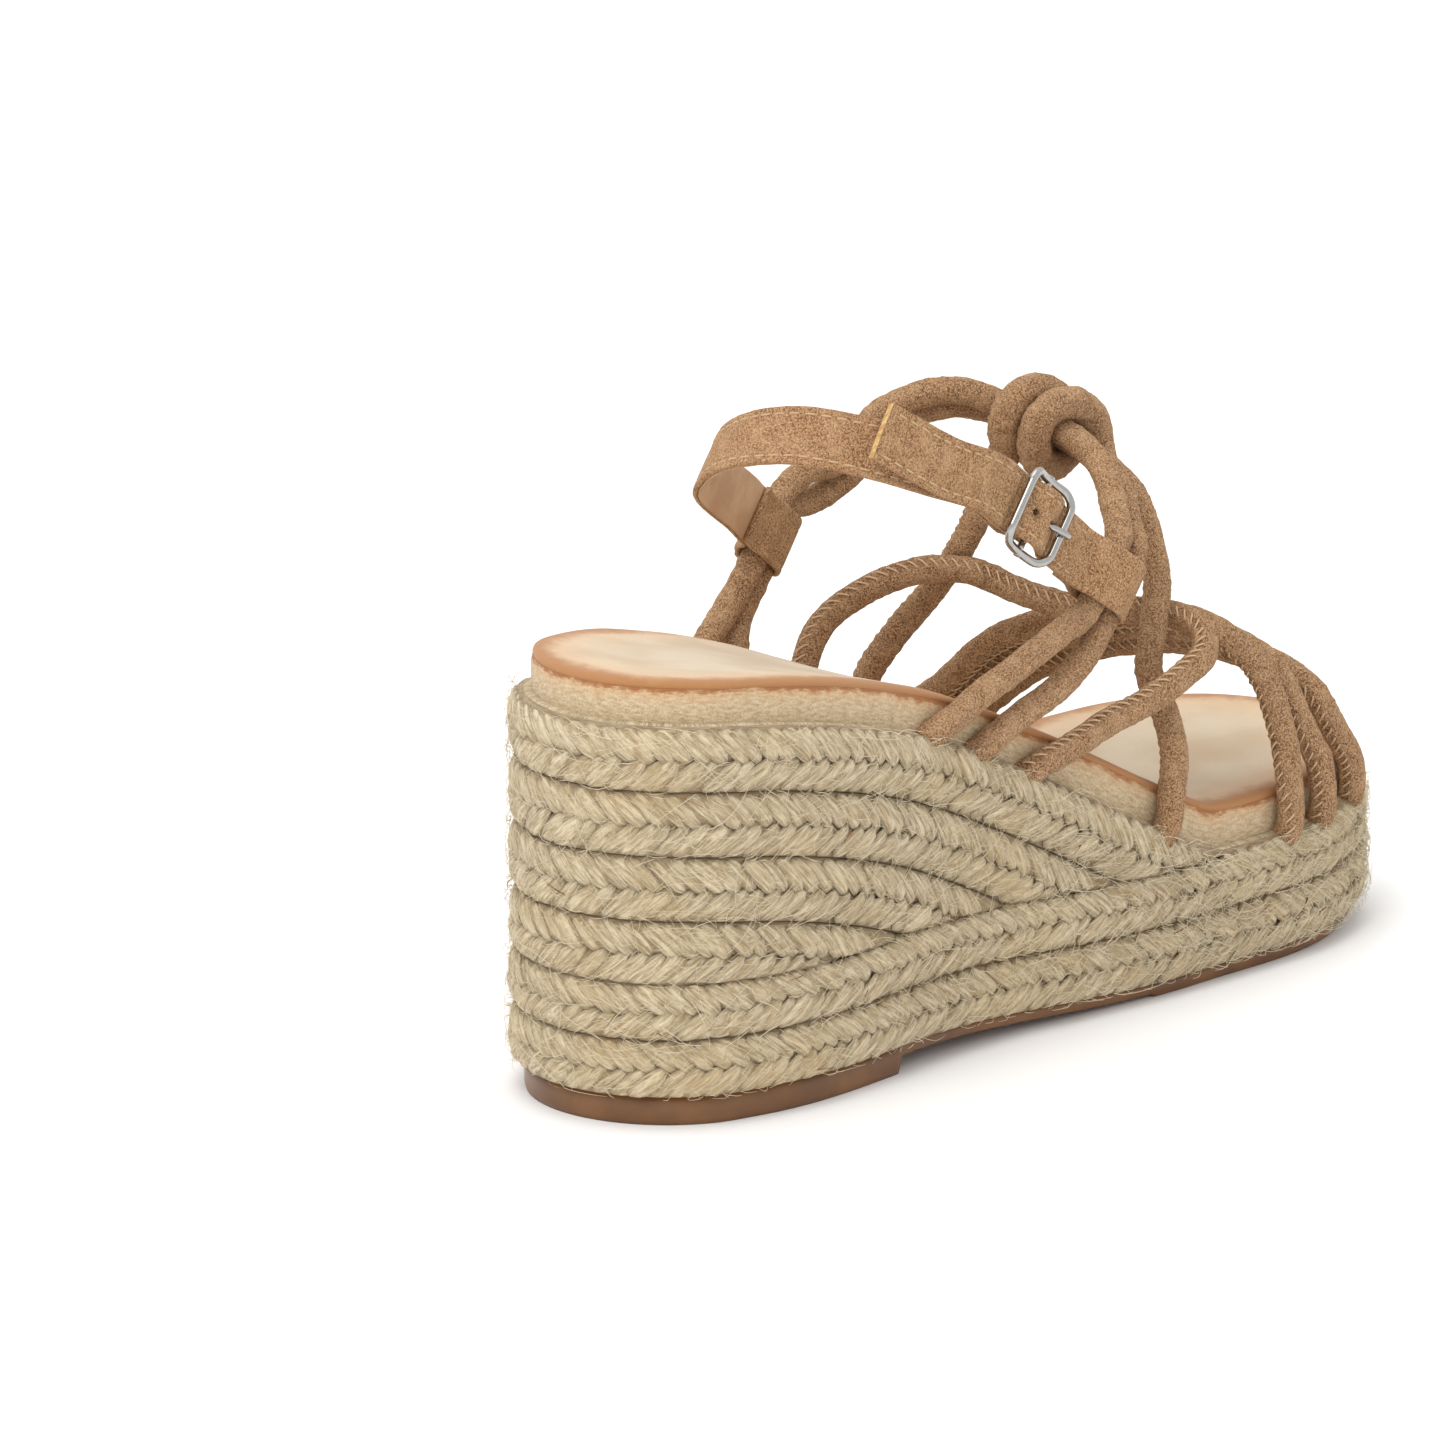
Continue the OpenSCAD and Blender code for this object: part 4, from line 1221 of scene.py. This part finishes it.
def billet_end(path, wide, face, way):
    """Billet's free end, behind the buckle, with its raw cut edge."""
    shape = Shape()
    ribbon(shape, path, wide, face, STRAP_HALF, 0, SUEDE)
    lining_under(shape, path, wide, face)
    made = shape.piece("billet_tip_body", [suede, thread, lining], body=None)
    sewn = Shape()
    stitches(sewn, path, wide, face, 1.0, along(path)[-1] - 0.5, finish=0)
    raw = Shape()
    heights = (-LINING + 0.05, SUEDE - 0.1)
    places = (-6.3, -3, 0, 3, 6.3)
    edges = [[path[-1] + v * wide[-1] + h * face[-1] + 0.12 * way for v in places] for h in heights]
    raw.grid(np.array(edges), [0, 1.7], [0, 3, 6, 9, 12], closed=False)
    threads = sewn.piece("tip_stitches", [thread], body=None)
    sewn_on(made, threads, raw.piece("tip_cut_end", [cut_edge], body=None))
    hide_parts("billet_tip", "billet_tip_lining")
    start, end = out_frame(-BAR_REACH - 1, BILLET_LOW), out_frame(-BAR_REACH - 6.5, BILLET_LOW)
    blended(made, start, end)


def billet():
    """Short strap from the outer fold through the buckle, in its held part and its free end."""
    neck_u = LOOP_REACH - NECK
    fold = loop_course(OUTER_LOOP_AT, -u_out, w_out, FOLD_GAP)
    straight = [out_frame(neck_u + 1.5, BILLET_LOW + 0.1), out_frame(neck_u - 6, BILLET_LOW)]
    wave = [out_frame(u, w) for u, w in billet_wave]
    path = spaced(smooth([*fold, *straight, *wave, *tip_line], 10), 0.7)
    run = along(path)
    u_at = (path - BUCKLE_AT) @ u_out
    past_fold = run > 30
    split = int(np.argmax(past_fold & (u_at < -BAR_REACH)))
    neck_run = run[int(np.argmax(past_fold & (u_at < neck_u)))]
    t, wide = turned_to(path, ease((run - run[split] - 3) / 30), -v_out)
    face = np.cross(wide, t)
    held = slice(0, split + 1)
    billet_through(path[held], wide[held], face[held], neck_run)
    free = slice(split, len(path))
    billet_end(path[free], wide[free], face[free], t[-1])


billet()


PRONG_ROOM = 1.3


def chape():
    """Folded suede that holds the centre bar, in two halves beside the prong."""
    shape = Shape()
    r = BAR_R + BAR_GAP
    under = STRAP_LOW - LINING - CHAPE

    def fold(path, half, low, high):
        wide = np.repeat(-v_out[None], len(path), axis=0)
        ribbon(shape, path, wide, np.cross(directions(path), wide), half, low, high, groove=False)

    half = (STRAP_HALF - PRONG_ROOM) / 2
    for side in (-1, 1):
        line = [(-3.2, under), (-1.5, BAR_DROP - r - 0.5)]
        angles = np.radians([0, 45, 90, 135, 180, 215])
        turns = [(r * math.sin(a), BAR_DROP - r * math.cos(a)) for a in angles]
        centre = side * (PRONG_ROOM + half) * v_out
        fold(smooth([out_frame(u, w) + centre for u, w in [*line, *turns]], 6), half, 0, CHAPE)
    fold(smooth([out_frame(u, under) for u in (-16, -10, -6, -3.0)], 6), STRAP_HALF - 0.1, -CHAPE, 0)
    return shape.piece("buckle_chape_fold", [suede], body="heel_strap", stands_for=["buckle_chape"])


chape()

# ---------------------------------------------------------------- buckle

FRAME_HALF = STRAP_HALF + 1.0 + WIRE_R
SAG = FRAME_RISE - BAR_DROP
FRAME_ARC = (BAR_REACH**2 + SAG**2) / (2 * SAG)
CORNER = 3.6


def buckle_frame():
    """Rounded rectangular wire frame, bowed so that its middle sits on the centre bar."""
    corners = []
    for cu, cv, start in ((1, 1, 0), (-1, 1, 90), (-1, -1, 180), (1, -1, 270)):
        for a in np.radians(np.linspace(start, start + 90, 9)):
            u = cu * (BAR_REACH - CORNER) + CORNER * math.cos(a)
            v = cv * (FRAME_HALF - CORNER) + CORNER * math.sin(a)
            corners.append((u, v))
    flat = np.array(corners)
    dense = spaced(np.concatenate([flat, flat[:1]]), 0.45)[:-1]
    rise = BAR_DROP + FRAME_ARC - np.sqrt(FRAME_ARC**2 - dense[:, 0] ** 2)
    path = BUCKLE_AT + dense[:, :1] * u_out + rise[:, None] * w_out + dense[:, 1:] * v_out
    t = unit(np.roll(path, -1, axis=0) - np.roll(path, 1, axis=0))
    side = unit(np.cross(t, w_out))
    face = np.cross(side, t)
    a = np.arange(14) * 2 * np.pi / 14
    ring = 1.0 * np.cos(a)[None, :, None] * side[:, None] + 0.9 * np.sin(a)[None, :, None] * face[:, None]
    rows = path[:, None] + ring
    rows = np.concatenate([rows, rows[:1]])
    shape = Shape()
    shape.grid(rows, along(rows[:, 0]), np.linspace(0, 6.3, 15), caps=False)
    made = shape.piece("buckle_frame_wire", [nickel], body="buckle", stands_for=["buckle_frame"])
    welded = bmesh.new()
    welded.from_mesh(made.data)
    bmesh.ops.remove_doubles(welded, verts=welded.verts, dist=0.00001)
    welded.to_mesh(made.data)
    welded.free()


buckle_frame()


def buckle_prong():
    """Prong with its ring round the centre bar and its tip over the front bar."""
    shape = Shape()
    ring = BAR_R + BAR_GAP + 0.4
    turns = [
        BUCKLE_AT + ring * math.cos(a) * u_out + (BAR_DROP + ring * math.sin(a)) * w_out
        for a in np.radians(np.arange(-40, 255, 15))
    ]
    tube(shape, np.array(turns), 0.42, sides=12, flat=1.7, first=tuple(w_out))
    rest = FRAME_RISE + WIRE_R + 0.7
    line = [
        (0.9, BAR_DROP + 0.4), (2.4, 0.1), (4.0, 0.9), (5.4, 2.3), (BAR_REACH, rest + 0.1),
        (BAR_REACH + 1.3, rest - 0.15),
    ]
    path = smooth([out_frame(u, w) for u, w in line], 8)
    run = along(path) / along(path)[-1]
    size = np.where(run > 0.93, 0.7 * (1 - 0.55 * (run - 0.93) / 0.07), 0.7)
    tube(shape, path, size, sides=14)
    shape.piece("buckle_prong_pin", [nickel], body="prong", stands_for=["buckle_prong"])


buckle_prong()

# ---------------------------------------------------------------- floor, light and camera

FLOOR = 6.0
floor_mesh = bpy.data.meshes.new("floor")
corners = [(-FLOOR, -FLOOR, 0), (FLOOR, -FLOOR, 0), (FLOOR, FLOOR, 0), (-FLOOR, FLOOR, 0)]
floor_mesh.from_pydata(corners, [], [(0, 1, 2, 3)])
floor = bpy.data.objects.new("floor", floor_mesh)
bpy.context.scene.collection.objects.link(floor)
paper = Finish("floor_paper", Roughness=0.9, Specular_IOR_Level=0.1)
shades = colour(250, 250, 250), colour(252, 252, 252)
paper.use("Base Color", paper.mix(paper.noise(paper.place(), 3), *shades))
floor_mesh.materials.append(paper.material)

sky = bpy.data.worlds.new("studio")
bpy.context.scene.world = sky
sky.use_nodes = True
sky.node_tree.nodes["Background"].inputs["Color"].default_value = (1, 1, 1, 1)
sky.node_tree.nodes["Background"].inputs["Strength"].default_value = 0.95


def lamp(name, at, aim, size, power):
    data = bpy.data.lights.new(name, "AREA")
    data.shape, data.size, data.energy = "SQUARE", size, power
    made = bpy.data.objects.new(name, data)
    bpy.context.scene.collection.objects.link(made)
    made.location = at
    made.rotation_euler = (Vector(aim) - Vector(at)).to_track_quat("-Z", "Y").to_euler()


CENTRE = (0, 0.09, 0.06)
lamp("key", (0.2, -0.9, 1.3), CENTRE, 0.9, 9)
lamp("top", (-0.3, 0.3, 1.5), CENTRE, 1.2, 6)

AZIMUTH, ELEVATION = math.radians(40.5), math.radians(16)
back_way = Vector(
    (
        math.sin(AZIMUTH) * math.cos(ELEVATION),
        -math.cos(AZIMUTH) * math.cos(ELEVATION),
        math.sin(ELEVATION),
    )
)
DISTANCE = 5.0
VIEW_WIDTH = 0.31075
SENSOR = 36
camera_data = bpy.data.cameras.new("camera")
camera_data.sensor_width = SENSOR
camera_data.lens = SENSOR * DISTANCE / VIEW_WIDTH
camera = bpy.data.objects.new("camera", camera_data)
bpy.context.scene.collection.objects.link(camera)
AIM = Vector((-0.0365, 0.0608, 0.0600))
camera.location = AIM + back_way * DISTANCE
camera.rotation_mode = "QUATERNION"
camera.rotation_quaternion = (-back_way).to_track_quat("-Z", "Y")
bpy.context.scene.camera = camera
bpy.context.scene.view_settings.view_transform = "Standard"
